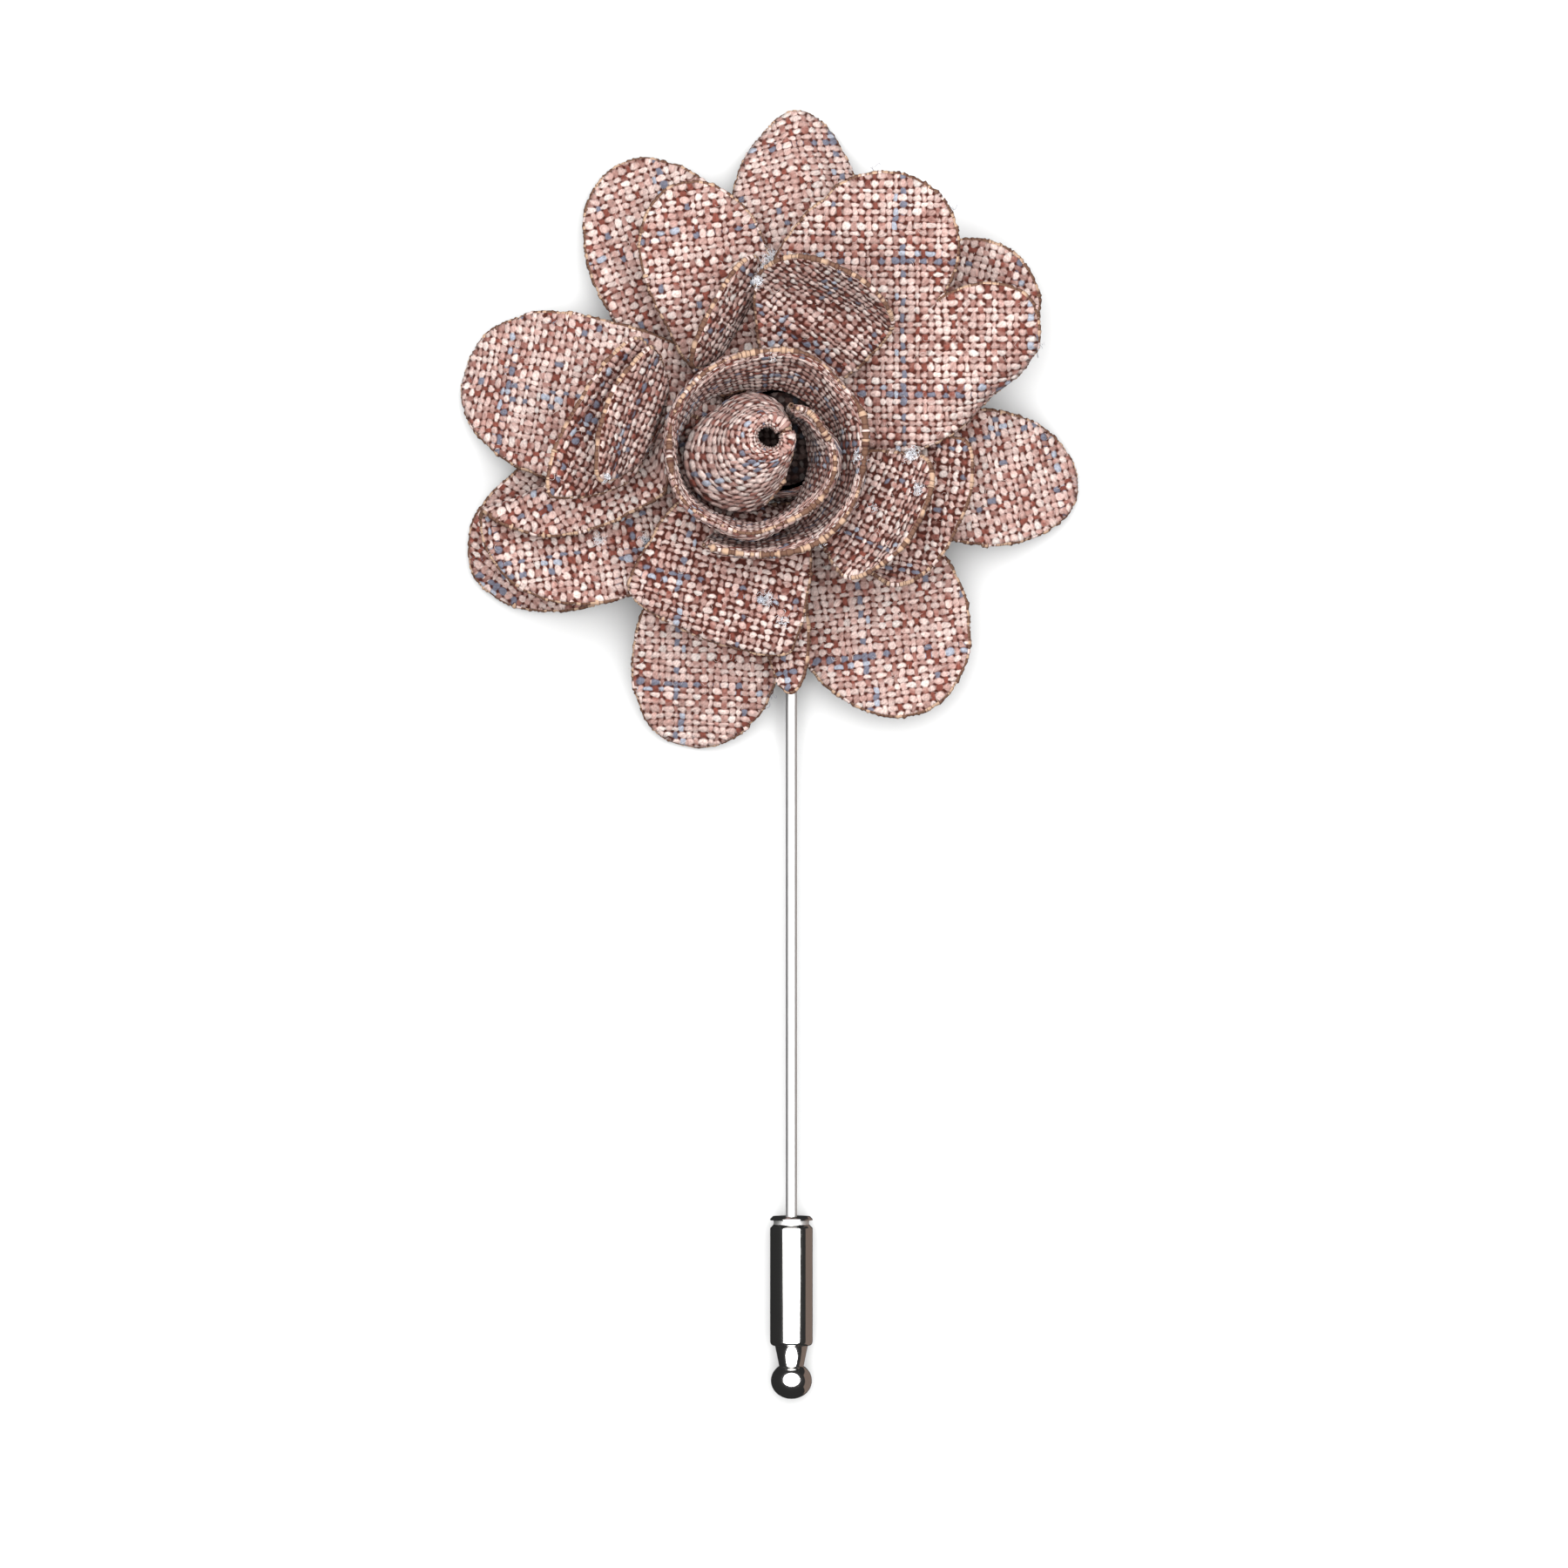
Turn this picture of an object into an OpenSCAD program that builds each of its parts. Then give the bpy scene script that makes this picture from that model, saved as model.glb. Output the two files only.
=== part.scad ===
// Flower lapel pin, lying face up: a cloth flower on a straight steel stick pin with a slide-on clutch.
// Millimetres, +Z up. The origin is on the pin's axis where the bare shank leaves the flower.
// The point of the pin is towards -Y and the flower's centre is up at +Y.

/* [Pin] */
// Diameter of the bare wire
wire_d = 0.8; // [0.7:0.05:0.95]
// Length of the bare shank between the flower and the clutch
shank_len = 38; // [30:0.5:50]
// Length of the ground point
point_len = 8; // [6:0.5:8.5]
// Radius of the blunt end of the point
point_end_r = 0.06; // [0.04:0.01:0.12]
// Diameter of the tinned stem hidden behind the flower
stem_d = 1.2; // [1.15:0.05:1.5]
// Diameter of the round pad that the flower is fixed to
pad_d = 12; // [9:0.5:16]
// Thickness of the pad
pad_t = 0.8; // [0.5:0.1:1.5]

/* [Clutch] */
// Diameter of the clutch barrel, which rests on the table
clutch_d = 3.05; // [2.6:0.05:3.6]
// Length of the barrel with its rim
barrel_len = 9.3; // [9:0.1:14]
// Thickness of the thin rim at the mouth
rim_t = 0.3; // [0.2:0.05:0.5]
// Depth of the groove behind the rim
groove = 0.25; // [0.1:0.05:0.4]
// Width of the groove behind the rim
groove_w = 0.3; // [0.2:0.05:0.5]
// Radius of the barrel's rounded shoulders
shoulder_r = 0.3; // [0.15:0.05:0.5]
// Widest diameter of the conical neck
neck_d = 2.35; // [2:0.05:2.5]
// Narrowest diameter of the neck, at the ball
neck_end_d = 1.75; // [1.4:0.05:2]
// Length of the neck
neck_len = 1.45; // [1:0.05:2.5]
// Diameter of the ball
ball_d = 2.94; // [2.6:0.02:3.4]
// Length of the slightly flattened ball along the pin
ball_len = 2.62; // [2:0.02:3.2]
// Running clearance between wire and bore, on the radius
bore_clear = 0.06; // [0.04:0.01:0.1]
// Free length left in the bore beyond the point
bore_spare = 0.6; // [0.3:0.1:0.8]

/* [Flower] */
// How far the flower's centre stands left of the pin
centre_left = 0.97; // [0:0.01:2]
// How far the flower's centre stands above the start of the bare shank
centre_up = 17.4; // [15:0.1:20]
// Thickness of the cloth with its stiffening
cloth_t = 1; // [0.8:0.05:1.1]
// Gap kept between neighbouring pieces
gap = 0.3; // [0.2:0.05:0.4]
// Radius of the sewn core that carries the petals
core_r = 4.2; // [3.8:0.1:4.6]
// Length of an outer petal
outer_len = 19; // [17:0.1:21]
// Width of an outer petal
outer_w = 11; // [9:0.1:12]
// Length of a middle petal
middle_len = 15; // [13.5:0.1:16.5]
// Width of a middle petal
middle_w = 12; // [10.5:0.1:13]
// Length of an inner petal
inner_len = 9.5; // [8.5:0.1:10.5]
// Width of an inner petal
inner_w = 11; // [9.5:0.1:12]

/* [Bud] */
// Radius of the bud's outer turn at its rim
bud_r = 7.2; // [6.8:0.1:7.6]
// Height of the bud's outer turn
bud_h = 3.6; // [3:0.1:5]
// How much the foot of the bud is drawn in
bud_lean = 2; // [1.6:0.1:2.2]
// How far the bud's middle stands left of the flower's centre
bud_left = 0.9; // [0.4:0.1:1.4]
// How far the bud's middle stands below the flower's centre
bud_down = 0.9; // [0.4:0.1:1.4]
// How much higher the heart stands than the outer turn
heart_rise = 3; // [2:0.1:4]
// Radius of the hole at the top of the heart
heart_hole = 1.2; // [1:0.05:1.6]
// How far the hole of the heart stands left of the flower's centre
hole_left = 0.5; // [0:0.1:1]
// How much the foot of the heart stands left of its hole
heart_skew = 2.15; // [1.8:0.05:2.3]
// How much the foot of the heart stands below its hole
heart_down = 1.3; // [0.9:0.1:1.4]
// Radius of the heart's foot
heart_r = 3.64; // [3.4:0.05:3.9]

/* [Hidden] */

steel = "silver";
cloth = "rosybrown";
cloth_dark = "sienna";

table_z = -clutch_d / 2;
bore_r = wire_d / 2 + bore_clear;
layer = cloth_t + gap;
stem_z = stem_d / 2;
pad_z = stem_z * 0.5;
pad_top = pad_z + pad_t;
root_z = pad_top + gap + cloth_t / 2;
levels = 5;
core_top = root_z + (levels - 0.5) * layer;
root_r = core_r + gap;
bud_z = core_top + gap;
heart_z = bud_z + cloth_t * 1.5;
bud_top = bud_z + bud_h;
outer_petals = 8;
middle_petals = 7;

// Each petal is a flat cut sheet that is bent along its length and across its width.
// Lengths are shares of the petal's own size, angles are degrees.
// The rows run clockwise from the top: eight outer petals, seven middle ones, four inner ones.

// SEAT: direction of the root from the centre, distance from the core, level, turn from that direction
AIM = 0;
OUT = 1;
LEVEL = 2;
TURN = 3;
SEAT = [
    [84.5, 0, 1, 0],
    [121.3, 0, 0, 0],
    [168.5, 0, 1, 0],
    [202.5, 0, 0, 0],
    [250.5, 0, 1, 0],
    [299.5, 0, 0, 0],
    [348.5, 0, 1, 0],
    [36, 0, 0, 0],
    [112, 0, 2, 0],
    [41, 0, 3, 0],
    [333, 0, 2, 0],
    [249, 0, 3.1, 0],
    [199, 0, 2, 0],
    [183, 1.12, 4.4, -32],
    [271, 0, 2.25, 2.5],
    [72, 0, 4, 0],
    [107.5, 1.04, 3.4, 42],
    [174, 1.06, 6.1, -16],
    [324, 0.1, 4, 0]
];

// CUT: outline of the flat sheet, as shares of the layer's length and width: length, width, width at the
// root, place of the full width, swell of the sides, notch of the tip, width of the right half
LONG = 0;
WIDE = 1;
ROOT = 2;
FULL = 3;
SWELL = 4;
NOTCH = 5;
RIGHT = 6;
CUT = [
    [1.06, 0.84, 0.45, 0.58, 0.5, 0, 1],
    [0.98, 1.01, 0.45, 0.55, 0.45, 0, 1],
    [1.03, 1.07, 0.45, 0.55, 0.45, 0, 1],
    [1.02, 1.02, 0.36, 0.55, 0.5, 0, 1],
    [0.99, 0.96, 0.36, 0.58, 0.5, 0, 1],
    [0.91, 1.14, 0.3, 0.55, 0.55, 0, 0.95],
    [0.93, 0.86, 0.4, 0.6, 0.5, 0, 1],
    [0.91, 1, 0.36, 0.6, 0.5, 0, 1],
    [1.01, 0.72, 0.5, 0.62, 0.5, 0, 1],
    [1.05, 1.8, 0.42, 0.62, 0.45, 1, 0.76],
    [0.65, 1, 0.36, 0.75, 0.7, 0, 1],
    [0.72, 1.03, 0.4, 0.85, 0.5, 0, 1],
    [1.17, 1.12, 0.32, 0.55, 0.5, 0, 1],
    [0.46, 1.06, 0.3, 0.8, 0.7, 0, 1],
    [0.89, 0.25, 0.74, 0.62, 0.7, 0, 1],
    [1.2, 0.92, 0.36, 0.62, 0.7, 0, 1],
    [0.45, 0.8, 0.48, 0.62, 0.7, 0, 1],
    [0.58, 0.9, 0.5, 0.7, 0.7, 0, 1],
    [0.86, 0.91, 0.4, 0.62, 0.7, 0, 1]
];

// BEND: slope at the root and at the tip, sideways sweep, cupping of each half at the root and at the tip,
// lengthwise crease, twist at the root and at the tip, 1 where the tip rests on the table
RISE = 0;
TIP = 1;
SWEEP = 2;
CUP = 3;
LIP = 4;
CREASE = 5;
TWIST = 6;
TURNED = 7;
RESTS = 8;
BEND = [
    [12, -32, 5, 0, 0, -24, 0, 0, 1],
    [0, -14, -4, 0, 2, 0, 0, 0, 0],
    [8, -36, -4, 0, 0, 0, 0, 0, 1],
    [-2, -14, 0, 0, -4, 0, 0, 0, 0],
    [8, -30, 5, 0, -6, 0, 0, 0, 1],
    [-2, 0, 2, 0, 2, 0, 0, 0, 0],
    [8, -28, 10, 0, 0, 0, 0, 0, 1],
    [-2, 0, -4, 0, 6, 0, 0, 0, 0],
    [6, 4, 0, 0, -8, 0, 0, 0, 0],
    [15, 6, 0, 0, -6, 0, 0, 0, 0],
    [2, 16, 0, 0, 8, 0, 0, 0, 0],
    [28, -24, 0, 0, -6, 0, 0, 0, 0],
    [2, -6, 0, 0, 0, 0, 0, 0, 0],
    [42, 26, 0, 0, 8, 0, 0, 0, 0],
    [2, -4, 0, 0, 0, 0, 0, 16, 0],
    [12, 70, -6, 15, 15, 0, 0, 0, 0],
    [64, 56, 0, 0, 0, 0, 0, 0, 0],
    [62, 44, 0, 0, 8, 0, 0, 0, 0],
    [0, 62, 0, 15, 15, 0, 0, 0, 0]
];

// ROLLS: petal's row, side (1 left, -1 right seen from the root), where the bend starts across at the root
// and at the tip, width of the bend, its angle, where it starts and is complete along the petal
PETAL = 0;
SIDE = 1;
START = 2;
START_TIP = 3;
WIDTH = 4;
ANGLE = 5;
FROM = 6;
TO = 7;
ROLLS = [
    [12, -1, 0.2, 0.2, 0.35, 172, 0, 0.25],
    [10, -1, 0.2, 0.2, 0.8, 40, 0, 0.5],
    [9, -1, 0.45, 0.8, 0.3, -65, 0.2, 0.6]
];

// COIL: the bud's coiled sheet at each eighth turn from its inner end, [share of bud_r at its rim,
// share of bud_lean that its foot stands inside the rim]
COIL = [
    [0.4, 0.1], [0.514, 0.17], [0.653, 0.7], [0.708, 0.6], [0.757, 0.25], [0.885, 0.15], [0.955, 0.15],
    [0.935, 0.35], [0.972, 1.15], [1, 1.15], [0.972, 1], [0.986, 0.95], [1.014, 0.55], [1.07, 0.3],
    [1.07, 0.3]
];
wrap_from = 0.45;
wrap_to = 6.4;
wrap_start = 95;
wrap_rise = 0.75 * heart_rise;
wrap_fall = 1.2;

// Angles at which the heart's sheet starts and ends, at its foot and at its top
HEART_START = [50, 29];
HEART_END = [285, 385];
heart_swell = 0.35;
// Fullness of the heart's foot behind the hole: its size, its direction and how narrow it is
heart_shoulder = 0.85;
shoulder_at = 68;
shoulder_width = 1.8;

grid_rows = 7;
grid_cols = 9;
spine_steps = 48;
cross_steps = 16;

// Outermost line of a petal's grid as a share of its half width, half width of a crease as a share of it,
// height of a resting tip above the table
edge_share = 0.985;
crease_w = 0.15;
rest_gap = 0.02;

heart_rows = 36;
heart_cols = 6;
wrap_rows = 90;
wrap_cols = 5;
round_facets = 64;
wire_facets = 32;

function clip(x) = max(0, min(1, x));
function total(list) = list * [for (x = list) 1];
function between(a, b, t) = a + (b - a) * t;

function petal_l(k) = CUT[k][LONG]
    * (k < outer_petals ? outer_len : k < outer_petals + middle_petals ? middle_len : inner_len);
function petal_h(k, y) = CUT[k][WIDE] / 2 * (y < 0 ? CUT[k][RIGHT] : 1)
    * (k < outer_petals ? outer_w : k < outer_petals + middle_petals ? middle_w : inner_w);

// Ends of the flat sheet along the line that runs y beside its middle
function tip_x(k, y) = let (
        l = petal_l(k), full = l * CUT[k][FULL], t = clip(abs(y) / petal_h(k, y)),
        one = sqrt(1 - t * t), two = sqrt(max(0, 1 - (2 * t - 1) * (2 * t - 1)))
    ) full + (l - full) * between(one, two, CUT[k][NOTCH]);
function root_x(k, y) = let (
        h = petal_h(k, y), r = h * CUT[k][ROOT], w = CUT[k][SWELL], t = clip((abs(y) - r) / (h - r))
    ) petal_l(k) * CUT[k][FULL] * (1 - pow(max(0, 1 - pow(t, 1 / w)), w));

// Middle line of the bent petal
function slope(k, s) = between(BEND[k][RISE], BEND[k][TIP], s);
function heading(k, s) = SEAT[k][AIM] + SEAT[k][TURN] + BEND[k][SWEEP] * s;
function petal_root(k) = let (r = root_r + SEAT[k][OUT] * core_r) [
    r * cos(SEAT[k][AIM]) - centre_left,
    r * sin(SEAT[k][AIM]) + centre_up,
    root_z + SEAT[k][LEVEL] * layer
];
function stride(k, s) = petal_l(k) / spine_steps * [
    cos(slope(k, s)) * cos(heading(k, s)), cos(slope(k, s)) * sin(heading(k, s)), sin(slope(k, s))
];
function free_spine(k) = [
    for (i = 0, p = petal_root(k); i <= spine_steps; p = p + stride(k, (i + 0.5) / spine_steps), i = i + 1) p
];
function spine(k) = let (
        free = free_spine(k),
        drop = BEND[k][RESTS] * (table_z + cloth_t / 2 + rest_gap - free[spine_steps][2])
    ) [for (i = [0:spine_steps]) free[i] + [0, 0, drop * pow(i / spine_steps, 2)]];
function on_spine(line, s) = let (q = clip(s) * spine_steps, i = min(floor(q), spine_steps - 1))
    between(line[i], line[i + 1], q - i);

// Axes across the petal and up from its face, with its twist
function plain_across(k, s) = [-sin(heading(k, s)), cos(heading(k, s)), 0];
function plain_up(k, s) = [
    -sin(slope(k, s)) * cos(heading(k, s)), -sin(slope(k, s)) * sin(heading(k, s)), cos(slope(k, s))
];
function twist(k, s) = between(BEND[k][TWIST], BEND[k][TURNED], s);
function across(k, s) = plain_across(k, s) * cos(twist(k, s)) + plain_up(k, s) * sin(twist(k, s));
function up(k, s) = plain_up(k, s) * cos(twist(k, s)) - plain_across(k, s) * sin(twist(k, s));

// Angle of the cloth beside the middle line: cupping, crease and rolled edge
function roll(k, side, v, s) = total(concat([0], [
    for (r = ROLLS) if (r[PETAL] == k && r[SIDE] == side)
        r[ANGLE] * clip((s - r[FROM]) / (r[TO] - r[FROM]))
            * clip((v - between(r[START], r[START_TIP], s)) / r[WIDTH])
]));
function lean(k, side, v, s) = between(BEND[k][CUP], BEND[k][LIP], s) * v
    + BEND[k][CREASE] * s * s * clip(v / crease_w) + roll(k, side, v, s);

// A point of the cloth at x along and y beside the middle line, off its middle face
function cloth_point(k, line, x, y, off) = let (
        s = clip(x / petal_l(k)), side = y < 0 ? -1 : 1, v = abs(y) / petal_h(k, y),
        turns = [for (j = [0:cross_steps - 1]) lean(k, side, v * (j + 0.5) / cross_steps, s)],
        out = total([for (t = turns) cos(t)]) * abs(y) / cross_steps,
        rise = total([for (t = turns) sin(t)]) * abs(y) / cross_steps,
        end = lean(k, side, v, s), b = across(k, s), n = up(k, s)
    ) on_spine(line, s) + b * side * out + n * rise + (n * cos(end) - b * side * sin(end)) * off;

function petal_face(k, cols, off) = let (line = spine(k)) [
    for (i = [0:grid_rows - 1]) for (j = [0:cols - 1])
        let (
            v = sin(-90 + 180 * j / (cols - 1)) * edge_share,
            y = v * petal_h(k, v)
        ) cloth_point(k, line, between(root_x(k, y), tip_x(k, y), i / (grid_rows - 1)), y, off)
];

// A closed sheet between two grids of points, the upper one first
module sheet(top, under, rows, cols) {
    n = rows * cols;
    ring = concat(
        [for (i = [0:rows - 2]) i * cols],
        [for (j = [0:cols - 2]) (rows - 1) * cols + j],
        [for (i = [rows - 1:-1:1]) i * cols + cols - 1],
        [for (j = [cols - 1:-1:1]) j]
    );
    faces = concat(
        [for (i = [0:rows - 2]) for (j = [0:cols - 2])
            let (a = i * cols + j, b = a + cols, c = b + 1, d = a + 1)
            for (f = [[a, c, b], [a, d, c], [n + a, n + b, n + c], [n + a, n + c, n + d]]) f],
        [for (q = [0:len(ring) - 1])
            let (a = ring[q], b = ring[(q + 1) % len(ring)])
            for (f = [[b, n + a, a], [b, n + b, n + a]]) f]
    );
    polyhedron(points = concat(top, under), faces = faces, convexity = 8);
}

module petal(k, cols = grid_cols) {
    sheet(petal_face(k, cols, cloth_t / 2), petal_face(k, cols, -cloth_t / 2), grid_rows, cols);
}

// The bud's coiled sheet, from its inner end clockwise to its outer end
function coil(q) = let (i = min(floor(q * 2), len(COIL) - 2)) between(COIL[i], COIL[i + 1], q * 2 - i);
function wrap_point(t, h, off) = let (
        q = between(wrap_from, wrap_to, t),
        a = wrap_start - 90 * q,
        r = coil(q)[0] * bud_r - coil(q)[1] * bud_lean * (1 - h) + off,
        top = bud_top + wrap_rise * pow(1 - t, wrap_fall)
    ) [
        r * cos(a) - centre_left - bud_left,
        r * sin(a) + centre_up - bud_down,
        between(bud_z, top, h)
    ];

// The heart: one sheet rolled to a leaning cone with a hole at the top, its free edge in front
function heart_point(t, h, off) = let (
        a = between(between(HEART_START[0], HEART_START[1], h), between(HEART_END[0], HEART_END[1], h), t),
        k = heart_swell * sin(90 * h) + (1 - heart_swell) * h,
        fuller = heart_shoulder * cos(min(90, abs(a - shoulder_at) * shoulder_width)) * (1 - k),
        r = between(heart_r, heart_hole, k) + fuller + off
    ) [
        r * cos(a) - centre_left - hole_left - heart_skew * (1 - k),
        r * sin(a) + centre_up - heart_down * (1 - k),
        heart_z + (bud_top + heart_rise - heart_z) * sin(90 * h)
    ];

module pin() {
    color(steel) union() {
        translate([-centre_left, centre_up, pad_z]) cylinder(h = pad_t, d = pad_d, $fn = round_facets);
        translate([0, centre_up + pad_d / 4, 0]) rotate([90, 0, 0])
            cylinder(h = centre_up + pad_d / 4, d = stem_d, $fn = wire_facets);
        rotate([90, 0, 0]) cylinder(h = shank_len, d = wire_d, $fn = wire_facets);
        translate([0, -shank_len, 0]) rotate([90, 0, 0])
            cylinder(h = point_len, r1 = wire_d / 2, r2 = point_end_r, $fn = wire_facets);
    }
}

module clutch() {
    r = clutch_d / 2;
    neck_z = barrel_len + neck_len;
    meet = acos(neck_end_d / ball_d);
    ball_z = neck_z + ball_len / 2 * sin(meet);
    profile = concat(
        [[bore_r, 0], [r, 0], [r, rim_t], [r - groove, rim_t], [r - groove, rim_t + groove_w]],
        [for (a = [22.5:22.5:90]) [r - groove * (1 - sin(a)), rim_t + groove_w + groove * (1 - cos(a))]],
        [for (a = [0:22.5:90]) [r - shoulder_r * (1 - cos(a)), barrel_len - shoulder_r * (1 - sin(a))]],
        [[neck_d / 2, barrel_len]],
        [for (i = [0:11]) let (a = between(-meet, 90, i / 12))
            [ball_d / 2 * cos(a), ball_z + ball_len / 2 * sin(a)]],
        [[0, ball_z + ball_len / 2], [0, point_len + bore_spare], [bore_r, point_len + bore_spare]]
    );
    color(steel) translate([0, -shank_len, 0]) rotate([90, 0, 0])
        rotate_extrude($fn = round_facets) polygon(profile);
}

module core() {
    color(cloth_dark) translate([-centre_left, centre_up, pad_top + gap])
        cylinder(h = core_top - pad_top - gap, r = core_r, $fn = round_facets);
}

function heart_face(off) = [
    for (i = [0:heart_rows - 1]) for (j = [0:heart_cols - 1])
        heart_point(i / (heart_rows - 1), j / (heart_cols - 1), off)
];
function wrap_face(off) = [
    for (i = [0:wrap_rows - 1]) for (j = [0:wrap_cols - 1])
        wrap_point(i / (wrap_rows - 1), j / (wrap_cols - 1), off)
];

module bud_heart() {
    color(cloth) sheet(heart_face(cloth_t / 2), heart_face(-cloth_t / 2), heart_rows, heart_cols);
}

module bud_wrap() {
    color(cloth) sheet(wrap_face(-cloth_t / 2), wrap_face(cloth_t / 2), wrap_rows, wrap_cols);
}

module outer_petal_top() { color(cloth) petal(0); }
module outer_petal_upper_left() { color(cloth) petal(1); }
module outer_petal_left() { color(cloth) petal(2); }
module outer_petal_lower_left() { color(cloth) petal(3); }
module outer_petal_bottom() { color(cloth) petal(4); }
module outer_petal_lower_right() { color(cloth) petal(5); }
module outer_petal_right() { color(cloth) petal(6); }
module outer_petal_upper_right() { color(cloth) petal(7); }
module middle_petal_top() { color(cloth) petal(8); }
module middle_petal_double() { color(cloth) petal(9, 13); }
module middle_petal_right() { color(cloth) petal(10); }
module middle_petal_bottom() { color(cloth) petal(11); }
module middle_petal_rolled() { color(cloth) petal(12, 19); }
module middle_petal_left() { color(cloth_dark) petal(13); }
module middle_petal_narrow() { color(cloth) petal(14); }
module inner_petal_top() { color(cloth_dark) petal(15); }
module inner_petal_standing() { color(cloth_dark) petal(16); }
module inner_petal_left() { color(cloth_dark) petal(17); }
module inner_petal_right() { color(cloth_dark) petal(18); }

pin();
clutch();
core();
bud_heart();
bud_wrap();
outer_petal_top();
outer_petal_upper_left();
outer_petal_left();
outer_petal_lower_left();
outer_petal_bottom();
outer_petal_lower_right();
outer_petal_right();
outer_petal_upper_right();
middle_petal_top();
middle_petal_double();
middle_petal_right();
middle_petal_bottom();
middle_petal_rolled();
middle_petal_left();
middle_petal_narrow();
inner_petal_top();
inner_petal_standing();
inner_petal_left();
inner_petal_right();
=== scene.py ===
"""Looks of the flower lapel pin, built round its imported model. Metres, +Z up, the pin's point towards -Y."""

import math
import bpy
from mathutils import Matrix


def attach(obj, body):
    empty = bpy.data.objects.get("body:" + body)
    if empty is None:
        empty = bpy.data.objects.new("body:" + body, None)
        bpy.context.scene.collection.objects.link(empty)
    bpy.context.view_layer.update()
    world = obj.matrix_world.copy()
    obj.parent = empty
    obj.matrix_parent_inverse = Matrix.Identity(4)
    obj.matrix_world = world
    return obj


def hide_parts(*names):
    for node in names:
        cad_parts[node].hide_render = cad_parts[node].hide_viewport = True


bl_info = {
    "name": "Flower Lapel Pin",
    "version": (1, 0, 0),
    "blender": (4, 5, 0),
    "location": "3D Viewport > Sidebar > Lapel Pin",
    "description": "Woven cloth flower on a steel stick pin with a slide-on clutch",
    "category": "Add Mesh",
}

import bpy
import numpy as np
from bpy.props import FloatProperty, FloatVectorProperty, IntProperty, PointerProperty

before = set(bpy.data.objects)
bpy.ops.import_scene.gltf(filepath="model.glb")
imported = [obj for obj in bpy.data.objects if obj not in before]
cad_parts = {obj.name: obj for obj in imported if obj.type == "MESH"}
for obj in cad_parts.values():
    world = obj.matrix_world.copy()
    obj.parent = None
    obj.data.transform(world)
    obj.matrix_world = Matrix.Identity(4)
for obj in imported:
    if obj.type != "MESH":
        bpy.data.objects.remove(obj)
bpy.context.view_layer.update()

MM = 0.001
TAU = 2 * math.pi

# Sizes of the part, in millimetres
WIRE_D = 0.8
SHANK_LEN = 38
POINT_LEN = 8
POINT_END_R = 0.06
STEM_D = 1.2
PAD_D = 12
PAD_T = 0.8
CLUTCH_D = 3.05
BARREL_LEN = 9.3
RIM_T = 0.3
GROOVE = 0.25
GROOVE_W = 0.3
MOUTH_BEVEL = 0.2
SHOULDER_R = 0.3
NECK_D = 2.35
NECK_END_D = 1.75
NECK_LEN = 1.45
BALL_D = 2.94
BALL_LEN = 2.62
BORE_R = WIRE_D / 2 + 0.06
BORE_DEPTH = POINT_LEN + 0.6
CENTRE = (-0.97, 17.4)
CLOTH_T = 1.0
GAP = 0.3
CORE_R = 4.2
BUD_R = 7.2
BUD_H = 3.6
BUD_LEAN = 2.0
BUD_LEFT = 0.9
BUD_DOWN = 0.9
HEART_RISE = 3.0
HEART_HOLE = 1.2
HOLE_LEFT = 0.5
HEART_SKEW = 2.15
HEART_DOWN = 1.3
HEART_R = 3.64
TABLE_Z = -CLUTCH_D / 2
LAYER = CLOTH_T + GAP
PAD_Z = STEM_D / 4
PAD_TOP = PAD_Z + PAD_T
ROOT_Z = PAD_TOP + GAP + CLOTH_T / 2
CORE_TOP = ROOT_Z + 4.5 * LAYER
ROOT_R = CORE_R + GAP
BUD_Z = CORE_TOP + GAP
HEART_Z = BUD_Z + 1.5 * CLOTH_T
BUD_TOP = BUD_Z + BUD_H

# The bud's coiled sheet at each eighth turn: its rim as a share of BUD_R, its lean as a share of BUD_LEAN
COIL = np.array([
    (0.4, 0.1), (0.514, 0.17), (0.653, 0.7), (0.708, 0.6), (0.757, 0.25), (0.885, 0.15), (0.955, 0.15),
    (0.935, 0.35), (0.972, 1.15), (1, 1.15), (0.972, 1), (0.986, 0.95), (1.014, 0.55), (1.07, 0.3),
    (1.07, 0.3)])
# The coil runs from one quarter turn to another, from a start in degrees, and its inner end stands higher
WRAP_FROM = 0.45
WRAP_TO = 6.4
WRAP_START = 95
WRAP_RISE = 0.75 * HEART_RISE
WRAP_FALL = 1.2
# Degrees at which the heart's sheet starts and ends, at its foot and at its top, and how full it swells
HEART_START = (50, 29)
HEART_END = (285, 385)
HEART_SWELL = 0.35
# Fullness of the heart's foot behind the hole: its size, its direction and how narrow it is
HEART_SHOULDER = 0.85
SHOULDER_AT = 68
SHOULDER_WIDTH = 1.8
# How far the coil's rim strays out and up, in millimetres, and its waves: their rate and start, and the size
# and rate of the slow wave that bends them
SAG_OUT = 0.14
SAG_UP = 1.5 * SAG_OUT
WAVE_OUT = (0.9, 0, 1.1, 0.31)
WAVE_UP = (1.3, 2.0, 1.6, 0.23)
# The heart's cloth turned into its hole: share of the height, share of it that bends, how far in and down it
# bends, the crest as a share of the heart, and the depth of the hole
HEART_LIP = 0.22
LIP_TURN = 0.8
LIP_R = 0.2
LIP_DROP = 0.6
HEART_CREST = 0.93
LIP_DEPTH = 2.6

# Length and height of the doubled strips of the bud, in millimetres
WRAP_CUT = (58, 4.9)
HEART_CUT = (15, 7)

# Length and width of the petals of each layer, in millimetres
LAYERS = {"outer": (19, 11), "middle": (15, 12), "inner": (9.5, 11)}

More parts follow.
